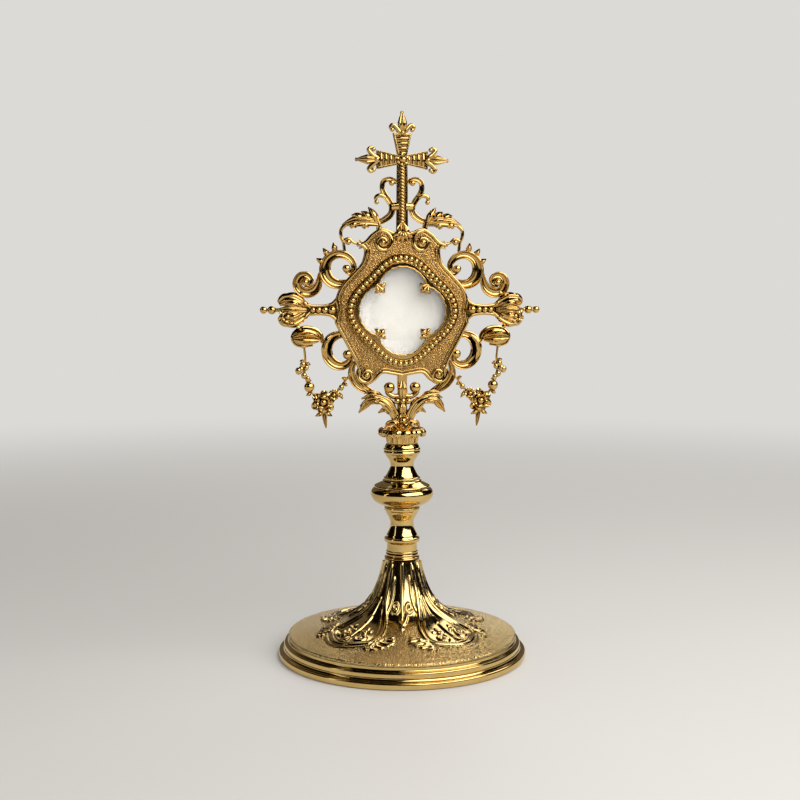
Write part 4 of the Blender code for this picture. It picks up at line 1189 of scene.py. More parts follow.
@dataclass
class Casting:
    """Parts of one casting of the glory, drawn flat at a height above the window's centre."""

    name: str
    height: float = 0.0
    parts: list[Piece] = field(default_factory=list)

    def raise_points(self, points: Line | Array) -> Line:
        """Measure points from the window's centre that are given from the casting's height."""
        return [(right, self.height + up, *depth) for right, up, *depth in points]

    def sweep(self, name: str, points: Line | Array, widths: list[float], section: Line,
              depth: float | tuple[float, float] = 0.0, per_span: int = 7) -> None:
        """Add a moulding or wire along a smooth flat line.

        Args:
            name: Name of the part.
            points: Points (right, up) that the line runs through.
            widths: Half-widths, spread evenly along the line.
            section: Section in half-widths.
            depth: Depth of the line, or of its two ends.
            per_span: Steps between two points.
        """
        line = flowing(self.raise_points(points), per_span)
        self.parts.append(swept(name, at(line, depth), widths, section))

    def leaf(self, name: str, spine: Line, widths: list[float], *shape: float, **sizes: float) -> None:
        """Add a leaf; its shape and sizes are those of leaf()."""
        self.parts.append(leaf(name, self.raise_points(spine), widths, *shape, **sizes))

    def bead(self, name: str, place: Place, radius: float, long: float = 1.0) -> None:
        """Add a bead."""
        self.parts.append(bead(name, self.raise_points([place])[0], radius, long))

    def rosette(self, name: str, centre: Place, radius: float, layers: Line, eye: float) -> None:
        """Add a layered flower."""
        self.parts.append(rosette(name, self.raise_points([centre])[0], radius, layers, eye))

    def saw(self, name: str, outline: Line | Array, front: float, back: float) -> None:
        """Add a flat shape sawn out of plate."""
        self.parts.append(sawn(name, [np.array(self.raise_points(outline))], front, back))

    def mirror(self) -> None:
        """Add a mirror image of each part."""
        self.parts += [copied(part, MIRROR, part.name) for part in self.parts]

    def dress_pair(self) -> None:
        """Join the parts, which lie on the right, mirror the casting, and hang and dress both."""
        right = joined(self.name + "_right_casting", self.parts)
        left = copied(right, MIRROR, self.name + "_left_casting")
        for piece, side in ((right, "right"), (left, "left")):
            dress(hang(piece), CAST, f"{self.name}_{side}")


# The glory.


@dataclass
class GloryPlate:
    """Lozenge plate of the glory: a matted ground in a burnished edge, with curled bosses."""

    top: float = 40.2
    bottom: float = 33.9
    side: float = 34.9
    face: float = 1.5
    window: float = 21.9
    shell_root: float = 41.6

    def outline(self) -> Array:
        """Draw the outline with the clock: shoulders, corners, flanks, lower volutes and tip.

        Returns:
            The points, one row each.
        """
        top, side = self.top, self.side
        half = flowing([
            (0.0, top), (4.5, top + 0.4), (10.4, top + 2.3), (15.8, top - 0.6), (19.5, top - 4.4),
            (23.8, top - 6.1), (23.8, top - 6.1), (19.9, top - 8.4), (20.9, 25.0), (25.4, 19.8), (32.0, 12.3),
            (side - 0.5, 5.8), (side - 1.0, 0.0), (side, -6.3), (side, -6.3), (28.1, -19.4), (25.0, -25.2),
            (23.0, -30.0), (23.0, -30.0), (22.8, -34.6), (18.6, -38.0), (14.4, -36.0), (10.4, -32.4),
            (5.2, -32.9), (0.0, -self.bottom)], 8)
        return np.concatenate([half, half[-2:0:-1] * [-1, 1]])

    def bosses(self) -> list[Piece]:
        """Curl the shoulder and lower bosses, on both sides, and fan the shell under the cross.

        Returns:
            The bosses with their eyes, the corner bands and the shell's ribs.
        """
        bosses = Casting("bosses")
        for name, centre, size, start, sweep in (("shoulder", (10.4, 35.0), 6.3, 70, 760),
                                                 ("corner", (18.9, -33.0), 5.3, 60, -700)):
            spiral = curl(centre, size, 0.9, start, sweep, 60)
            bosses.sweep(name + "_boss", spiral, [0.7, 1.05, 1.0, 0.8, 0.6], HALF_ROUND,
                         (self.face, self.face + 1.3), 1)
            bosses.bead(name + "_eye", (*centre, self.face + 1.5), 1.2)
        bosses.sweep("corner_band", [
            (24.6, -26.0), (26.2, -29.6), (26.2, -34.0), (23.8, -38.0), (20.2, -40.8), (17.0, -42.0)],
            [0.9, 1.7, 2.1, 2.0, 1.6, 0.9], TROUGH, 0.2, 8)
        bosses.mirror()
        for lean in np.radians((-52, -26, 0, 26, 52)):
            spine = [(out * math.sin(lean), self.shell_root - out * math.cos(lean), depth)
                     for out, depth in ((0.0, 2.2), (3.2, 2.9), (6.2, 1.7))]
            bosses.leaf("shell_rib", spine, [0.5, 1.2, 1.5, 0.9], 0.6, 1, rows=12)
        return bosses.parts

    def build(self) -> None:
        """Saw the plate and set its edges and bosses on it."""
        line = self.outline()
        ground = sawn("plate_ground", [line, window_line(self.window)], self.face, -self.face)
        ground.data.materials.append(SHADED_TOOLED)
        trims = [swept(name, at(inset(line, gap), self.face), [half], HALF_ROUND, cyclic=True)
                 for name, gap, half in (("plate_edge", 0.75, 0.85), ("plate_inner_line", 2.5, 0.35))]
        trims += self.bosses()
        for trim in trims:
            trim.data.materials.append(CAST)
        dress(hang(joined("glory_plate_chased", [ground] + trims)), None, "glory_plate")


@dataclass
class Window:
    """Bezel, pearl border, cusped tracery and glass of the window."""

    pearl_line: float = 25.4
    pearls: int = 58
    pearl_radius: float = 1.36
    floor: float = 2.5
    front: float = 2.6
    lobe_centre: float = 9.6
    lobe_radius: float = 13.1
    scallop: float = 0.24

    def build_bezel(self) -> None:
        """Sweep the channel that the pearls sit in, with a higher fillet outside."""
        section = [(-2.1, 1.8), (-2.1, 2.9), (-1.8, 3.25), (-1.45, 3.1), (-1.25, 2.5), (1.2, 2.5), (1.3, 3.1),
                   (1.55, 3.45), (1.85, 3.45), (2.1, 3.1), (2.1, 1.8)]
        bezel = swept("window_bezel_channel", window_line(self.pearl_line), [1.0], section, cyclic=True)
        dress(hang(bezel), BURNISHED, "window_bezel")

    def build_pearls(self) -> None:
        """Seat the pearls evenly in the channel."""
        line = window_line(self.pearl_line, 1760)
        length = run_lengths(line)
        stops = np.arange(self.pearls) * length[-1] / self.pearls
        depth = self.floor + 0.7 * self.pearl_radius
        places = np.column_stack([np.interp(stops, length, line[:, k]) for k in range(2)])
        row = repeated(bead("pearl", (0, 0, 0), self.pearl_radius),
                       [Matrix.Translation(place * MM) for place in at(places, depth)])
        dress(hang(joined("pearl_row", row)), BURNISHED, "pearl_border")

    def tracery_line(self) -> Array:
        """Draw the clear opening: four lobes that meet in cusps, with a finely scalloped edge.

        Returns:
            The points, one row each.
        """
        angle = np.linspace(0, math.tau, 720, endpoint=False)
        off_lobe = (angle + math.pi / 4) % (math.pi / 2) - math.pi / 4
        reach = self.lobe_centre * np.cos(off_lobe)
        reach += np.sqrt(self.lobe_radius ** 2 - (self.lobe_centre * np.sin(off_lobe)) ** 2)
        reach -= self.scallop * np.abs(np.cos(18 * off_lobe))
        return np.stack([reach * np.cos(angle), reach * np.sin(angle)], axis=1)

    def build_tracery(self) -> None:
        """Saw the cusped ring, edge it with wire and set a small lily on each cusp."""
        line, deep = self.tracery_line(), self.front
        ring = sawn("tracery_ring", [window_line(23.0), line], deep, deep - 0.8, 0.12)
        wire = swept("tracery_wire", at(line * 1.012, deep), [0.4], HALF_ROUND, cyclic=True)
        lily = Casting("lily")
        lily.leaf("lily", [(19.2, 0, deep), (16.6, 0, deep + 0.6), (13.1, 0, deep)], [1.0, 1.0, 1.8, 0.2],
                  0.5, 1, rows=14, thickness=0.6)
        for hand in HANDS:
            spine = [(18.8, 0.4 * hand, deep), (16.5, 2.0 * hand, deep + 0.5), (16.9, 3.8 * hand, deep)]
            lily.leaf("lily", spine, [0.7, 1.3, 0.4], 0.5, 1, rows=12, thickness=0.6)
        parts = [ring, wire] + repeated(joined("lily", lily.parts), turns(4, 45))
        dress(hang(joined("window_tracery_cusped", parts)), CAST, "window_tracery")

    def build(self) -> None:
        """Build everything that fills the window from the front, with its glass cut to the window's line."""
        self.build_bezel()
        self.build_pearls()
        self.build_tracery()
        pane = sawn("front_pane", [window_line(21.6)], 1.5, 0.5, 0.1)
        dress(hang(pane), GLASS, "front_glass")


@dataclass
class Luna:
    """Luna with the host, its case behind the plate, and the case's glazed door."""

    hinge: tuple[float, float] = (31.5, -9.6)
    strap: tuple[float, float] = (28.6, 30.7)
    steps: int = 128

    def ring(self, name: str, profile: Line) -> Piece:
        """Spin a ring round the window's axis from a profile (radius, depth)."""
        return spun(name, flowing(profile + profile[:1], 3), self.steps)

    def build_pane(self, node: str, name: str, radius: float, front: float, back: float,
                   body: Body = Body.STAND) -> None:
        """Spin a round glass.

        Args:
            node: Frame node that it stands for.
            name: Name of the piece.
            radius: Its radius.
            front: Depth of its front face.
            back: Depth of its back face.
            body: Body that it moves with.
        """
        rim = [(radius, front), (radius, front), (radius, back), (radius, back)]
        pane = self.ring(name, [(0.0, front), *rim, (0.0, back)])
        dress(hang(pane), GLASS, node, body)

    def knuckle(self, low: float, high: float, strap_front: float, strap_back: float) -> list[Piece]:
        """Model a bored hinge knuckle with the strap that carries it.

        Args:
            low: Height of its lower end.
            high: Height of its upper end.
            strap_front: Depth of the strap's front face.
            strap_back: Depth of its back face.

        Returns:
            The knuckle and the strap.
        """
        barrel = spun("knuckle", np.array([(0.9, low), (1.45, low), (1.6, low + 0.2), (1.6, high - 0.2),
                                           (1.45, high), (0.9, high), (0.9, low)]), 32)
        barrel.data.transform(Matrix.Translation((self.hinge[0] * MM, 0, self.hinge[1] * MM))
                              @ Matrix.Rotation(-math.pi / 2, 4, "X"))
        near, far = self.strap
        strap = np.array([(near, low), (far, low), (far, high), (near, high)])
        return [barrel, sawn("strap", [strap], strap_front, strap_back)]

    def build_case(self) -> None:
        """Spin the case with a rolled back lip and set two knuckles on it."""
        case = self.ring("case", [
            (28.2, -1.8), (29.6, -1.8), (29.6, -1.8), (29.6, -7.4), (29.6, -7.4), (29.9, -7.8), (29.6, -8.4),
            (29.6, -8.4), (28.2, -8.4), (28.2, -8.4)])
        parts = [case] + self.knuckle(3.2, 9.0, -7.0, -8.4) + self.knuckle(-9.0, -3.2, -7.0, -8.4)
        dress(hang(joined("luna_case_turned", parts)), CAST, "luna_case")

    def build_door(self) -> None:
        """Spin the door ring with its bead and spigot, and add its knuckle, thumb tab and glass."""
        door = self.ring("door", [
            (27.9, -7.8), (27.9, -8.7), (27.9, -8.7), (29.6, -8.7), (29.6, -8.7), (29.6, -10.0),
            (29.2, -10.5), (28.4, -10.7), (27.6, -10.4), (27.6, -10.4), (25.4, -10.4), (24.4, -10.7),
            (23.4, -10.5), (23.0, -10.1), (23.0, -10.1), (25.6, -10.1), (25.6, -10.1), (25.6, -8.7),
            (25.6, -8.7), (27.0, -8.7), (27.0, -8.7), (27.0, -7.8), (27.0, -7.8)])
        tab = leaf("thumb_tab", [(-28.8, 0, -9.6), (-30.8, 0, -10.0), (-33.0, 0, -10.4)],
                   [3.0, 2.6, 1.6, 0.4], 0.1, 1, rows=14)
        parts = [door, tab] + self.knuckle(-2.9, 2.9, -9.0, -10.4)
        dress(hang(joined("door_ring_turned", parts)), BURNISHED, "door_ring", Body.DOOR)
        self.build_pane("door_glass", "door_pane", 25.3, -9.0, -9.8, Body.DOOR)

    def build_luna(self) -> None:
        """Spin the luna's grooved ring, its two glasses and the host."""
        ring = self.ring("luna_ring_turned", [
            (24.6, -2.1), (27.5, -2.1), (27.9, -2.5), (27.9, -2.5), (27.9, -7.0), (27.5, -7.4), (27.5, -7.4),
            (24.6, -7.4), (24.6, -7.4), (24.6, -6.8), (24.6, -6.8), (26.6, -6.8), (26.6, -6.8), (26.6, -2.7),
            (26.6, -2.7), (24.6, -2.7), (24.6, -2.7)])
        dress(hang(ring), BURNISHED, "luna_ring")
        for node, front, back in (("luna_glass_front", -3.0, -4.0), ("luna_glass_rear", -5.5, -6.5)):
            self.build_pane(node, node + "_pane", 26.2, front, back)
        host = self.ring("host_wafer", [
            (0.0, -4.3), (22.9, -4.3), (23.4, -4.3), (24.0, -4.45), (24.2, -4.75), (24.0, -5.05),
            (23.4, -5.2), (0.0, -5.2)])
        dress(hang(host), WAFER, "host")

    def build(self) -> None:
        """Build the luna, its case and its door."""
        self.build_case()
        self.build_door()
        self.build_luna()
        keep("hinge_pin", STEEL)


@dataclass
class Scrolls:
    """C-scrolls, volutes and side arms at both flanks of the plate."""

    arm: float = 0.6
    arm_face: float = 1.1
    crocket_centre: tuple[float, float] = (33.0, 21.4)

    def build_c_scrolls(self) -> None:
        """Sweep the upper and lower C-scrolls, each with a ball in its curl."""
        upper = Casting("upper_scroll")
        upper.sweep("upper_c", [
            (28.4, 14.8), (33.4, 13.7), (38.2, 16.2), (40.0, 21.2), (38.2, 26.4), (33.4, 29.0), (28.4, 27.8),
            (25.5, 24.6), (25.3, 21.2), (27.2, 19.4), (29.2, 20.6)],
            [1.5, 2.5, 3.0, 3.1, 2.9, 2.5, 2.2, 2.0, 1.7, 1.4, 1.2], TROUGH, 0.3)
        upper.bead("upper_ball", (28.9, 21.7, 0.6), 2.1)
        right, up = self.crocket_centre
        for angle in np.radians((22, 50, 78)):
            out, rise = math.cos(angle), 1.12 * math.sin(angle)
            spine = [(right + 8.6 * out, up + 8.6 * rise, 0.4), (right + 10.4 * out, up + 10.4 * rise, 1.0),
                     (right + 12.2 * out, up + 12.0 * rise + 0.4, 0.4)]
            upper.leaf("crocket", spine, [1.4, 1.6, 1.0, 0.3], 0.8, 1, rows=12)
        upper.dress_pair()
        lower = Casting("lower_scroll")
        lower.sweep("lower_c", [
            (29.2, -12.4), (33.4, -12.3), (37.4, -14.6), (39.2, -19.2), (38.2, -24.2), (34.8, -27.5),
            (30.4, -28.0), (27.5, -25.8), (27.2, -23.2)], [1.4, 2.2, 2.8, 2.9, 2.9, 2.8, 2.5, 2.0, 1.5],
            TROUGH, 0.3)
        lower.bead("lower_ball", (28.6, -22.4, 0.6), 2.4)
        lower.leaf("lower_c_leaf", [
            (36.2, -12.4, 1.4), (39.4, -15.6, 1.9), (40.6, -20.0, 1.9), (39.0, -25.4, 1.2)],
            [0.5, 1.5, 1.5, 0.3], 0.5, 2, 3, 0.25)
        lower.dress_pair()

    def build_volutes(self) -> None:
        """Roll the upper snail volute and the lower ribbed leaf."""
        snail = Casting("upper_volute")
        snail.sweep("snail", [
            (42.4, 19.6), (43.0, 15.2), (45.0, 11.0), (49.2, 9.2), (53.0, 10.8), (54.2, 14.4), (52.4, 17.6),
            (49.4, 18.0), (47.4, 16.0), (48.2, 13.6), (50.6, 13.4)],
            [0.9, 1.6, 2.4, 2.7, 2.6, 2.5, 2.4, 2.3, 2.0, 1.6, 1.2], TROUGH, (0.0, 1.6))
        snail.bead("snail_eye", (50.2, 14.6, 1.9), 1.7)
        snail.sweep("snail_foot", [(51.6, 9.6), (53.6, 8.2), (55.6, 7.2)], [1.1, 1.0], ROUND, per_span=5)
        snail.dress_pair()
        rolled = Casting("lower_volute")
        rolled.sweep("rolled_leaf", [
            (41.0, -16.2), (43.6, -11.6), (48.6, -9.8), (53.2, -10.4), (55.8, -13.2), (54.8, -16.2),
            (51.2, -17.3), (46.4, -17.2)], [1.0, 1.9, 2.3, 2.3, 2.0, 1.6, 1.3, 0.8], REEDED, 0.3)
        rolled.leaf("inside", [
            (43.0, -14.4, 0.4), (47.0, -13.6, 1.7), (52.0, -13.4, 2.0), (56.4, -13.8, 0.6)],
            [1.6, 4.0, 4.1, 1.8], 0.5, 4, 3, 0.1)
        rolled.bead("ball", (51.0, -17.6, 0.6), 1.6)
        rolled.sweep("stalk", [(52.6, -9.4), (54.8, -7.4), (56.6, -6.0)], [1.0, 1.1], ROUND, per_span=5)
        rolled.dress_pair()

    def build_arms(self) -> None:
        """Build the pearled side arm that flares into the plate, with its bell flower and beads."""
        arm, face = Casting("side_arm", self.arm), self.arm_face
        upper = flowing([(32.4, 10.4), (33.8, 6.6), (36.6, 3.7), (40.0, 2.8), (45.0, 2.6), (49.0, 3.3),
                         (53.0, 5.4)], 8)
        arm.saw("arm_bar", np.concatenate([upper, upper[::-1] * [1, -1]]), face, -face)
        for hand in HANDS:
            arm.sweep("arm_rail", (upper - [0, 0.6]) * [1, hand], [0.8], HALF_ROUND, face, 1)
        for along, radius in ((36.6, 2.0), (40.2, 1.65), (43.4, 1.5), (46.4, 1.4)):
            arm.bead("arm_pearl", (along, 0.0, face + 0.6 * radius), radius)
        for hand in HANDS:
            for name, spine, widths, *shape, rows in (
                    ("bell_petal", [(50.0, 1.2, 0.4), (53.0, 3.6, 1.4), (57.0, 5.1, 1.8), (61.0, 4.8, 1.4),
                                    (63.6, 3.2, -0.2)], [1.4, 3.3, 4.1, 3.7, 1.5], 0.5, 3, 3, 0.1, 36),
                    ("bell_inner_petal", [(52.4, 1.6, 2.2), (56.6, 3.4, 3.6), (60.4, 2.6, 2.6)],
                     [1.0, 2.2, 1.0], 0.6, 2, 2, 0.15, 20),
                    ("bell_sepal", [(47.6, 1.0, 1.2), (50.4, 3.6, 1.7), (52.6, 6.4, 0.8)],
                     [0.6, 1.3, 0.2], 0.6, 1, 16)):
                sided = [(right, up * hand, deep) for right, up, deep in spine]
                arm.leaf(name, sided, widths, *shape, rows=rows)
        arm.leaf("bell_bud", [(49.6, 0.0, 1.2), (54.6, 0.0, 2.6), (59.6, 0.0, 2.8), (64.6, 0.0, 1.0)],
                 [1.2, 2.2, 2.3, 0.6], 0.6, 3)
        arm.bead("bell_back", (57.0, 0.0, 0.4), 3.0)
        arm.rosette("bell_rose", (59.4, -3.4, 1.6), 4.9, [(6, 1.0, 0.3, 12), (5, 0.68, 0.7, 30)], 1.3)
        arm.sweep("arm_tip", [(62.5, 0.0), (67.0, 0.0), (71.8, 0.0), (73.2, 0.0)],
                  [1.1, 0.9, 0.8, 0.3], ROUND, per_span=1)
        arm.bead("tip_bead", (67.1, 0.0, 0.0), 2.2)
        arm.bead("tip_bead", (71.3, 0.0, 0.0), 1.9)
        arm.dress_pair()

    def build(self) -> None:
        """Build the scroll-work of both flanks."""
        self.build_c_scrolls()
        self.build_volutes()
        self.build_arms()


@dataclass
class Garlands:
    """Flower garlands that hang from the rolled leaves to the lower lobes of the plate."""

    rose: tuple[float, float] = (41.3, -46.9)
    rose_radius: float = 6.6
    leaflet: float = 0.6

    def build(self) -> None:
        """Hang the wire with its buds, ball, rose, small flower and drop."""
        garland = Casting("garland")
        garland.sweep("garland_wire", [
            (51.0, -17.4), (50.3, -25.4), (50.8, -30.0), (50.1, -34.0), (48.3, -39.3), (45.4, -43.6),
            self.rose, (37.4, -45.2), (35.2, -42.8), (31.4, -38.2), (28.6, -34.6), (26.6, -32.6)],
            [0.6], ROUND, per_span=6)
        for right, up, size in ((51.6, -27.4, 1.5), (52.6, -29.8, 1.5), (49.8, -29.0, 1.3),
                                (51.0, -33.0, 1.5), (49.2, -34.6, 1.3), (53.8, -30.6, 1.7),
                                (31.8, -39.4, 1.4)):
            garland.bead("bud", (right, up, 0.7), size, 1.15)
        for root, tip in (((50.4, -25.8), (53.2, -25.4)), ((50.4, -26.4), (47.6, -27.6)),
                          ((50.2, -35.4), (47.2, -35.6)), ((47.2, -41.6), (49.9, -43.4)),
                          ((33.2, -41.8), (31.0, -45.4)), ((29.0, -35.0), (31.6, -34.4)),
                          ((30.6, -37.0), (28.6, -38.6))):
            middle = ((root[0] + tip[0]) / 2, (root[1] + tip[1]) / 2, 1.2)
            garland.leaf("leaflet", [(*root, 0.3), middle, (*tip, 0.3)], [0.4, 1.1, 0.2], 0.6, 1, rows=12,
                         thickness=self.leaflet)
        garland.bead("garland_ball", (48.3, -39.0, 0.4), 2.7)
        garland.rosette("garland_small_flower", (35.8, -43.0, 1.0), 3.0, [(5, 1.0, 0.3, 10)], 1.0)
        garland.rosette("garland_rose", (*self.rose, 0.2), self.rose_radius,
                        [(6, 1.0, 0.18, 8), (5, 0.80, 0.42, 30), (4, 0.55, 0.8, 12)], 1.7)
        right, up = self.rose
        drop = [(right - 0.3, up - 4.4), (right - 0.9, up - 8.4), (right - 1.6, up - 13.5)]
        garland.sweep("garland_drop", drop, [0.8, 1.2, 1.2, 0.9, 0.25], REEDED, per_span=8)
        for hand in HANDS[::-1]:
            spine = [(right - 0.4, up - 4.4, 0.6), (right - 0.4 + 2.6 * hand, up - 6.2, 1.2),
                     (right - 0.4 + 4.4 * hand, up - 7.2, 0.4)]
            garland.leaf("drop_leaf", spine, [0.7, 1.3, 0.2], 0.6, 1, rows=14, thickness=self.leaflet)
        garland.dress_pair()


@dataclass
class CrossTop:
    """Crowning cross with lily ends, and the two scroll brackets beside its shaft."""

    crossing: float = 77.1
    span: float = 24.4
    top: float = 101.9
    lily_length: float = 11.8
    half_thickness: float = 1.3
    recess: float = 0.55
    rib_pitch: float = 2.5
    rib_radius: float = 0.75
    rope_pitch: float = 3.2
    rope_radius: float = 0.62
    plate_top: float = 40.2

    def arm(self, reach: float) -> list[Piece]:
        """Build one flaring arm upwards from the crossing, with ribs, rails and a lily end.

        Args:
            reach: Its length, with the lily.

        Returns:
            Its parts.
        """
        end, face = reach - self.lily_length, self.half_thickness
        arm = Casting("cross_arm")
        arm.saw("arm", [(-1.6, 0.0), (-4.4, end), (4.4, end), (1.6, 0.0)], self.recess, -face)
        for hand in HANDS:
            rail = [(1.0, 0.0), (3.7, end), (4.7, end), (1.9, 0.0)]
            arm.saw("arm_rail", [(right * hand, up) for right, up in rail], face, -face)
        for up in np.arange(3.4, end - 1.6, self.rib_pitch):
            wide = 1.1 + 2.7 * up / end
            arch = [(wide * side, up, self.recess + 0.45 - 0.75 * side ** 2)
                    for side in np.linspace(-1, 1, 9)]
            arm.parts.append(swept("arm_rib", np.array(arch), [self.rib_radius], ROUND))
        arm.saw("arm_end", [(-4.7, end - 0.5), (-4.7, end + 0.6), (4.7, end + 0.6), (4.7, end - 0.5)],
                face, -face)
        arm.bead("arm_stud", (0, end + 0.6, face), 1.2)
        arm.leaf("lily_point", [(0, end - 0.6, 0.4), (0, end + 4.6, 1.2), (0, reach, 0.2)],
                 [1.4, 1.7, 2.5, 1.5, 0.15], 0.5, 3, thickness=1.4)
        for hand in HANDS:
            hook = [(0.3, -0.4), (2.9, 3.2), (5.0, 4.7), (6.1, 3.4), (5.2, 2.0)]
            arm.sweep("lily_hook", [(right * hand, end + up) for right, up in hook],
                      [1.2, 1.3, 1.15, 0.9, 0.7], HALF_ROUND, 0.5)
            arm.bead("lily_ball", (5.2 * hand, end + 2.2, 0.6), 1.15)
        return arm.parts

    def build_cross(self) -> None:
        """Build the shaft with its rope, the three arms and the boss."""
        face, low, high = self.half_thickness, self.plate_top - 1.5, self.crossing
        cross = Casting("cross")
        for turn, reach in ((0, self.top - self.crossing), (90, self.span), (-90, self.span)):
            change = Matrix.Translation((0, high * MM, 0)) @ Matrix.Rotation(math.radians(turn), 4, "Z")
            for part in self.arm(reach):
                part.data.transform(change)
                cross.parts.append(part)
        cross.saw("shaft", [(-2.8, low), (-2.5, high), (2.5, high), (2.8, low)], 0.8, -face)
        for hand in HANDS:
            rail = [(1.75, low), (1.55, high), (2.65, high), (3.0, low)]
            cross.saw("shaft_rail", [(right * hand, up) for right, up in rail], face, -face)
        up = np.linspace(low + 3.0, high - 2.4, 260)
        for strand in (0, math.pi):
            wind = math.tau * up / self.rope_pitch + strand
            rope = np.column_stack([0.75 * np.cos(wind), up, 0.95 + 0.45 * np.sin(wind)])
            cross.parts.append(swept("shaft_rope", rope, [self.rope_radius], ROUND, upright=False))
        cross.rosette("cross_boss", (0, high, face), 3.3, [(6, 1.0, 0.35, 0)], 1.7)
        cross.leaf("cross_foot", [(0, low + 6.6, 1.6), (0, low + 3.0, 2.4), (0, low - 0.4, 1.8)],
                   [0.6, 2.6, 3.7, 3.2], 0.35, 4)
        # The shaft's tooled gilt carries painted shade in its darker colours.
        grounds = {"arm": SATIN, "shaft": SHADED_TOOLED}
        for part in cross.parts:
            part.data.materials.append(grounds.get(part.name.split(".")[0], CAST))
        dress(hang(joined("cross_casting", cross.parts)), None, "cross")

    def build_brackets(self) -> None:
        """Build the scroll bracket with its leaves and thin stem, on both sides."""
        bracket = Casting("cross_bracket", self.plate_top)
        bracket.sweep("spine", [
            (2.8, 25.2), (4.4, 26.6), (7.0, 27.1), (9.6, 25.9), (10.3, 23.2), (9.5, 19.9), (6.8, 16.0),
            (5.2, 12.6), (6.0, 9.2), (9.2, 6.5), (13.5, 4.9)],
            [1.0, 1.2, 1.3, 1.3, 1.5, 1.5, 1.5, 1.7, 1.7, 1.6, 1.7], TROUGH)
        bracket.bead("curl", (5.4, 25.2, 0.3), 1.5)
        bracket.sweep("tie", [(2.0, 13.4), (5.6, 13.2)], [2.3, 1.9], HALF_ROUND)
        bracket.sweep("hook", [(8.6, 18.0), (11.6, 19.0), (13.6, 17.6), (13.2, 15.6)], [0.9, 1.1, 1.0, 0.7],
                      HALF_ROUND)
        bracket.bead("bud", (13.2, 15.4, 0.2), 1.2)
        bracket.leaf("leaf", [(12.6, 4.8, 0.8), (19.0, 5.8, 1.4), (26.0, 5.2, 1.0), (31.1, 3.5, 0.2)],
                     [1.6, 2.9, 2.7, 0.5], 0.5, 3)
        for root, middle, tip in (
                ((13.4, 5.2), (15.0, 9.2), (17.6, 12.8)), ((16.6, 6.2), (18.6, 8.8), (21.3, 10.6)),
                ((20.4, 6.4), (23.2, 8.2), (26.3, 8.7)), ((18.0, 4.8), (19.6, 3.0), (19.4, 1.6)),
                ((23.6, 4.8), (26.0, 3.2), (26.4, 1.8))):
            bracket.leaf("blade", [(*root, 0.9), (*middle, 1.5), (*tip, 0.4)],
                         [1.5, 2.1, 1.5, 0.25], 0.6, 1, rows=16)
        bracket.sweep("foot", [(12.8, 5.6), (12.0, 2.6), (11.8, -0.6)], [1.4, 1.3, 1.5], HALF_ROUND)
        bracket.sweep("stem", [(28.6, 4.3), (31.4, 1.4), (31.6, -2.0), (30.4, -5.2), (29.8, -9.6)],
                      [1.0, 0.9, 0.8, 0.8], ROUND)
        bracket.sweep("link", [(30.8, -4.4), (27.6, -3.2), (25.4, -5.0), (22.6, -6.0)], [0.75], ROUND)
        bracket.bead("link_ball", (27.9, -5.0, 0.2), 1.5)
        bracket.dress_pair()

    def build(self) -> None:
        """Build the cross and its brackets."""
        self.build_cross()
        self.build_brackets()


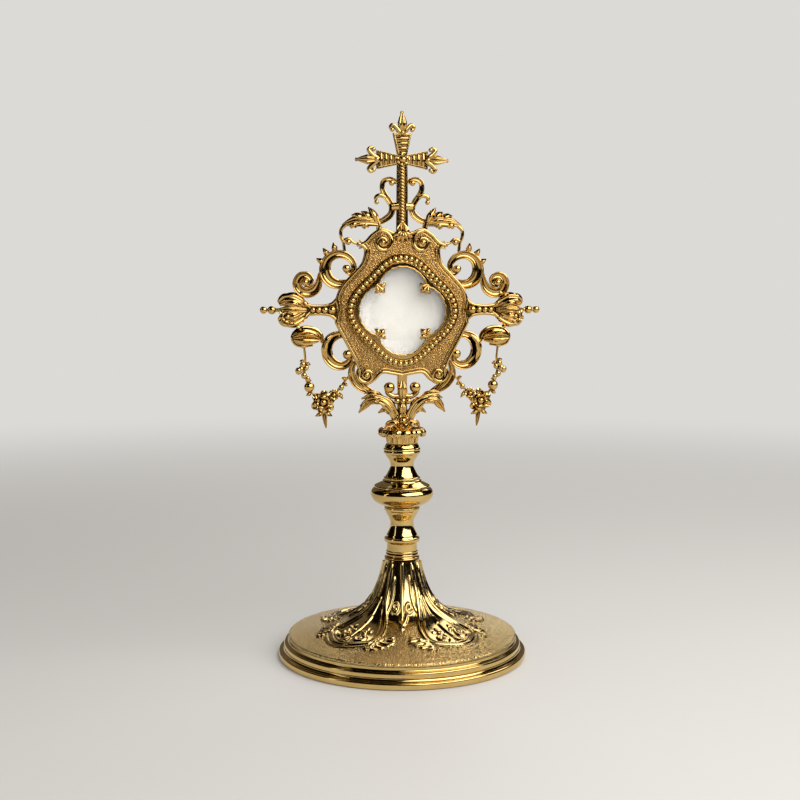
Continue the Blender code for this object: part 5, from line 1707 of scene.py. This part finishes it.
@dataclass
class LeafCrown:
    """Acanthus bracket that joins the stem to the glory, and the leaf calyx that it rises from."""

    base: float = -61.7
    column_top: float = -33.0
    calyx_leaves: int = 8
    calyx_radius: float = 8.6

    def build_bracket(self) -> None:
        """Build the column, the arching leaves, the stalks, balls, beads and flower boss."""
        bracket = Casting("acanthus_bracket", self.base)
        heights = (-7.0, 0.4, 6.0, 12.0, 20.0, self.column_top - self.base)
        bracket.sweep("column", [(0, up) for up in heights], [3.3, 3.3, 3.2, 2.6, 2.4, 2.8], ROUND,
                      per_span=1)
        bracket.rosette("boss", (0, 4.8, 2.2), 4.6, [(6, 1.0, 0.2, 0), (5, 0.7, 0.5, 20)], 1.8)
        for right in (-3.0, 0.0, 3.0):
            bracket.bead("boss_bead", (right, 15.0, 2.6), 1.6)
        bracket.leaf("column_leaf", [(0, 9.0, 2.6), (0, 12.0, 3.6), (0, 14.4, 3.0)], [2.0, 2.2, 0.3],
                     0.5, 3, rows=16)
        bracket.leaf("column_crest", [(0, 17.0, 2.2), (0, 21.0, 2.8), (0, 26.0, 2.0)], [1.8, 2.8, 1.0],
                     0.5, 3, 2, 0.2, rows=18)
        half = Casting("half", self.base)
        for name, spine, widths, lobes in (
                ("arching_leaf", [(2.2, 3.2, 1.6), (5.6, 10.8, 2.4), (9.6, 15.0, 2.6), (14.2, 16.4, 2.4),
                                  (18.6, 14.0, 1.6), (22.7, 9.0, 0.4)], [1.8, 2.9, 3.3, 3.0, 2.3, 0.4], 4),
                ("leaf_finger", [(8.4, 13.4, 2.2), (14.6, 16.0, 3.4), (19.4, 14.8, 2.0), (22.0, 12.4, 0.4)],
                 [1.2, 1.7, 1.6, 0.3], 0),
                ("leaf_finger", [(9.0, 14.6, 1.4), (15.6, 17.8, 2.6), (21.4, 16.4, 0.6)],
                 [1.4, 2.2, 1.7, 0.3], 2),
                ("leaf_finger", [(10.0, 16.0, 0.8), (15.4, 19.6, 1.6), (20.2, 19.4, 0.5)],
                 [1.2, 1.9, 1.4, 0.3], 2),
                ("leaf_back", [(4.4, 8.0, 1.0), (9.4, 10.6, 1.6), (12.6, 8.8, 0.4)], [1.2, 1.8, 0.3], 2),
                ("sheath", [(1.0, 0.0, 2.6), (4.6, 4.0, 3.0), (7.6, 3.2, 2.4), (9.2, 0.6, 1.0)],
                 [1.4, 2.2, 1.6, 0.3], 2)):
            half.leaf(name, spine, widths, 0.5, 3, lobes, 0.25)
        half.sweep("stalk", [(12.0, 16.4), (17.0, 20.4), (20.4, 23.4), (21.8, 27.6)],
                   [1.4, 1.6, 1.5, 1.4], TROUGH, 0.2, 8)
        half.sweep("ball_hook", [(0.8, 17.6), (4.6, 17.4), (7.8, 19.6), (7.6, 22.4)], [1.5, 1.5, 1.3, 1.1],
                   HALF_ROUND, 0.6)
        half.bead("hook_ball", (6.8, 22.0, 0.6), 2.9)
        half.mirror()
        parts = bracket.parts + half.parts
        dress(hang(joined("acanthus_bracket_casting", parts)), CAST, "acanthus_bracket")

    def build_calyx(self) -> None:
        """Spin the cup and set curled leaves round it."""
        bore, low, high = 3.8, 111.6, 117.2
        cup = spun("calyx_cup", flowing([
            (bore, low), (7.6, low), (7.6, low), (7.7, 113.4), (8.2, 115.4), (8.7, 117.0), (8.7, 117.0),
            (7.4, 117.6), (bore, high), (bore, high), (bore, low)], 4), 96)
        rise = flowing([(7.9, 111.9), (8.2, 113.8), (8.6, 116.0), (9.4, 118.1), (10.6, 118.9), (11.6, 118.2),
                        (11.9, 116.9), (11.3, 115.8), (10.6, 116.0)], 6)
        along = np.linspace(0, 1, len(rise))
        half = math.pi * self.calyx_radius / self.calyx_leaves

        def surface(share: Array, across: Array) -> Array:
            """Shape one upright leaf at the front of the cup.

            Args:
                share: Share of the way from root to tip.
                across: Place across the leaf, from -1 to 1.

            Returns:
                The points, one row each.
            """
            reach = np.interp(share, along, rise[:, 0]) + 0.5 * np.cos(math.tau * across) - 0.5 * across ** 2
            wide = half * (0.75 + 0.3 * np.sin(math.pi * share)) * np.sqrt(np.clip(1.02 - share ** 5, 0, 1))
            turn = across * wide / self.calyx_radius
            up = np.interp(share, along, rise[:, 1])
            return np.stack([reach * np.sin(turn), -reach * np.cos(turn), up], axis=1)

        blade = sheet("calyx_leaf", 24, 14, surface, 0.6)
        leaves = repeated(blade, turns(self.calyx_leaves, 180 / self.calyx_leaves))
        dress(joined("calyx_leaves", [cup] + leaves), CAST, "calyx")

    def build(self) -> None:
        """Build the bracket and the calyx."""
        self.build_bracket()
        self.build_calyx()


# The studio.


@dataclass
class Studio:
    """Pale floor and backdrop, soft lamps, drapes for the metal's contrast, and the photograph's camera."""

    floor: str = "#cfccc8"
    backdrop: str = "#dcdad6"
    felt: str = "#14110e"
    rear_felt: str = "#847c70"
    ambient: float = 0.55
    floor_radius: float = 4.0
    floor_thickness: float = 0.02
    floor_gap: float = 0.0002
    drape_mm: float = 1500.0
    drape_thickness: float = 5.0
    lens_mm: float = 56.38
    sensor_mm: float = 36.0
    eye: Place = (-0.1017, -0.6420, 0.1920)
    aim: Place = (0.0, 0.0, 0.134)
    aside_mm: float = 1.04

    def build_floor(self) -> None:
        """Lay a pale floor just below the foot."""
        fresh_start()
        bpy.ops.mesh.primitive_circle_add(vertices=128, radius=self.floor_radius, fill_type="NGON")
        floor = named("studio_floor")
        bpy.ops.object.mode_set(mode="EDIT")
        bpy.ops.mesh.extrude_region_move(TRANSFORM_OT_translate={"value": (0, 0, -self.floor_thickness)})
        bpy.ops.object.mode_set(mode="OBJECT")
        floor.data.materials.append(StudioPaper("matt_studio_paper", self.floor, self.backdrop).material())
        floor.data.transform(Matrix.Translation((0, 0, -self.floor_gap)))
        tidy_mesh(floor)

    def build_world(self) -> None:
        """Surround the object with a plain pale backdrop, which lights it a little less than it shows."""
        world = bpy.data.worlds.new("studio")
        bpy.context.scene.world = world
        world.use_nodes = True
        tree = world.node_tree
        tree.nodes.clear()
        strength = ranged(tree, seen_by(tree), (0.0, 1.0), (self.ambient, 1.0))
        sky = add_node(tree, "Background", {"Color": linear(self.backdrop), "Strength": strength})
        add_node(tree, "OutputWorld", {"Surface": sky.outputs[0]})

    def hang_drape(self, name: str, bearing: tuple[float, float], rise: tuple[float, float],
                   felt: str) -> None:
        """Hang a felt drape round the set; only mirror-like surfaces show it.

        Args:
            name: Name of the drape.
            bearing: Its first and last bearing, in degrees from +X.
            rise: Its lowest and highest elevation, in degrees.
            felt: Its colour.
        """

        def surface(share: Array, across: Array) -> Array:
            """Shape the drape on a dome over the object.

            Args:
                share: Share of the way up.
                across: Place along its bearing, from -1 to 1.

            Returns:
                The points, one row each.
            """
            turn = np.radians(bearing[0] + (bearing[1] - bearing[0]) * (across + 1) / 2)
            up = np.radians(rise[0] + (rise[1] - rise[0]) * share)
            reach = self.drape_mm * np.cos(up)
            return np.stack([reach * np.cos(turn), reach * np.sin(turn), self.drape_mm * np.sin(up)], axis=1)

        drape = sheet(name, 12, 36, surface, self.drape_thickness)
        drape.data.materials.append(Felt(name + "_felt", felt).material())
        drape.visible_camera = False
        drape.visible_diffuse = False
        drape.visible_transmission = False
        drape.visible_shadow = False

    def add_lamp(self, name: str, place: Place, size: tuple[float, float], watts: float,
                 mirrored: bool = True) -> None:
        """Hang a soft rectangular lamp that faces the object and isn't seen by the camera.

        Args:
            name: Name of the lamp.
            place: Where it hangs, in metres.
            size: Its width and height, in metres.
            watts: Its power.
            mirrored: Whether metal and glass show it.
        """
        fresh_start()
        bpy.ops.object.light_add(type="AREA", location=place)
        lamp = named(name)
        lamp.data.shape = "RECTANGLE"
        lamp.data.size, lamp.data.size_y = size
        lamp.data.energy = watts
        lamp.rotation_euler = (Vector(self.aim) - Vector(place)).to_track_quat("-Z", "Y").to_euler()
        lamp.visible_camera = False
        lamp.visible_glossy = mirrored
        lamp.visible_transmission = mirrored
        LOG.info("lamp %s: %.1f W", name, watts)

    def add_camera(self) -> None:
        """Set the camera where the photograph was taken from."""
        eye, aim = Vector(self.eye), Vector(self.aim)
        right = (aim - eye).cross(Vector((0, 0, 1))).normalized()
        fresh_start()
        bpy.ops.object.camera_add(location=eye)
        camera = bpy.context.object
        camera.rotation_euler = (aim - right * self.aside_mm * MM - eye).to_track_quat("-Z", "Y").to_euler()
        camera.data.lens = self.lens_mm
        camera.data.sensor_width = self.sensor_mm
        bpy.context.scene.camera = camera

    def build(self) -> None:
        """Set up the floor, backdrop, drapes, lamps and camera."""
        bpy.context.scene.view_settings.view_transform = "Standard"
        self.build_floor()
        self.build_world()
        self.hang_drape("round_drape", (-230.0, 50.0), (4.0, 60.0), self.felt)
        self.hang_drape("rear_drape", (50.0, 130.0), (4.0, 60.0), self.rear_felt)
        self.hang_drape("ceiling_drape", (-180.0, 180.0), (60.0, 89.0), self.felt)
        self.add_lamp("key_right", (0.38, -0.43, 0.62), (1.0, 0.62), 7.0)
        self.add_lamp("strip_left", (-0.85, -0.25, 0.45), (0.12, 0.8), 0.4)
        self.add_lamp("back_right", (0.28, 0.72, 0.78), (0.8, 0.45), 2.6)
        self.add_lamp("front_fill", (-0.2, -1.15, 0.25), (0.7, 0.5), 4.4, mirrored=False)
        self.add_camera()


def main() -> None:
    """Build every sub-assembly, then the studio round it."""
    for assembly in (Foot, Stem, GloryPlate, Window, Luna, Scrolls, Garlands, CrossTop, LeafCrown, Studio):
        assembly().build()


if __name__ == "__main__":
    main()
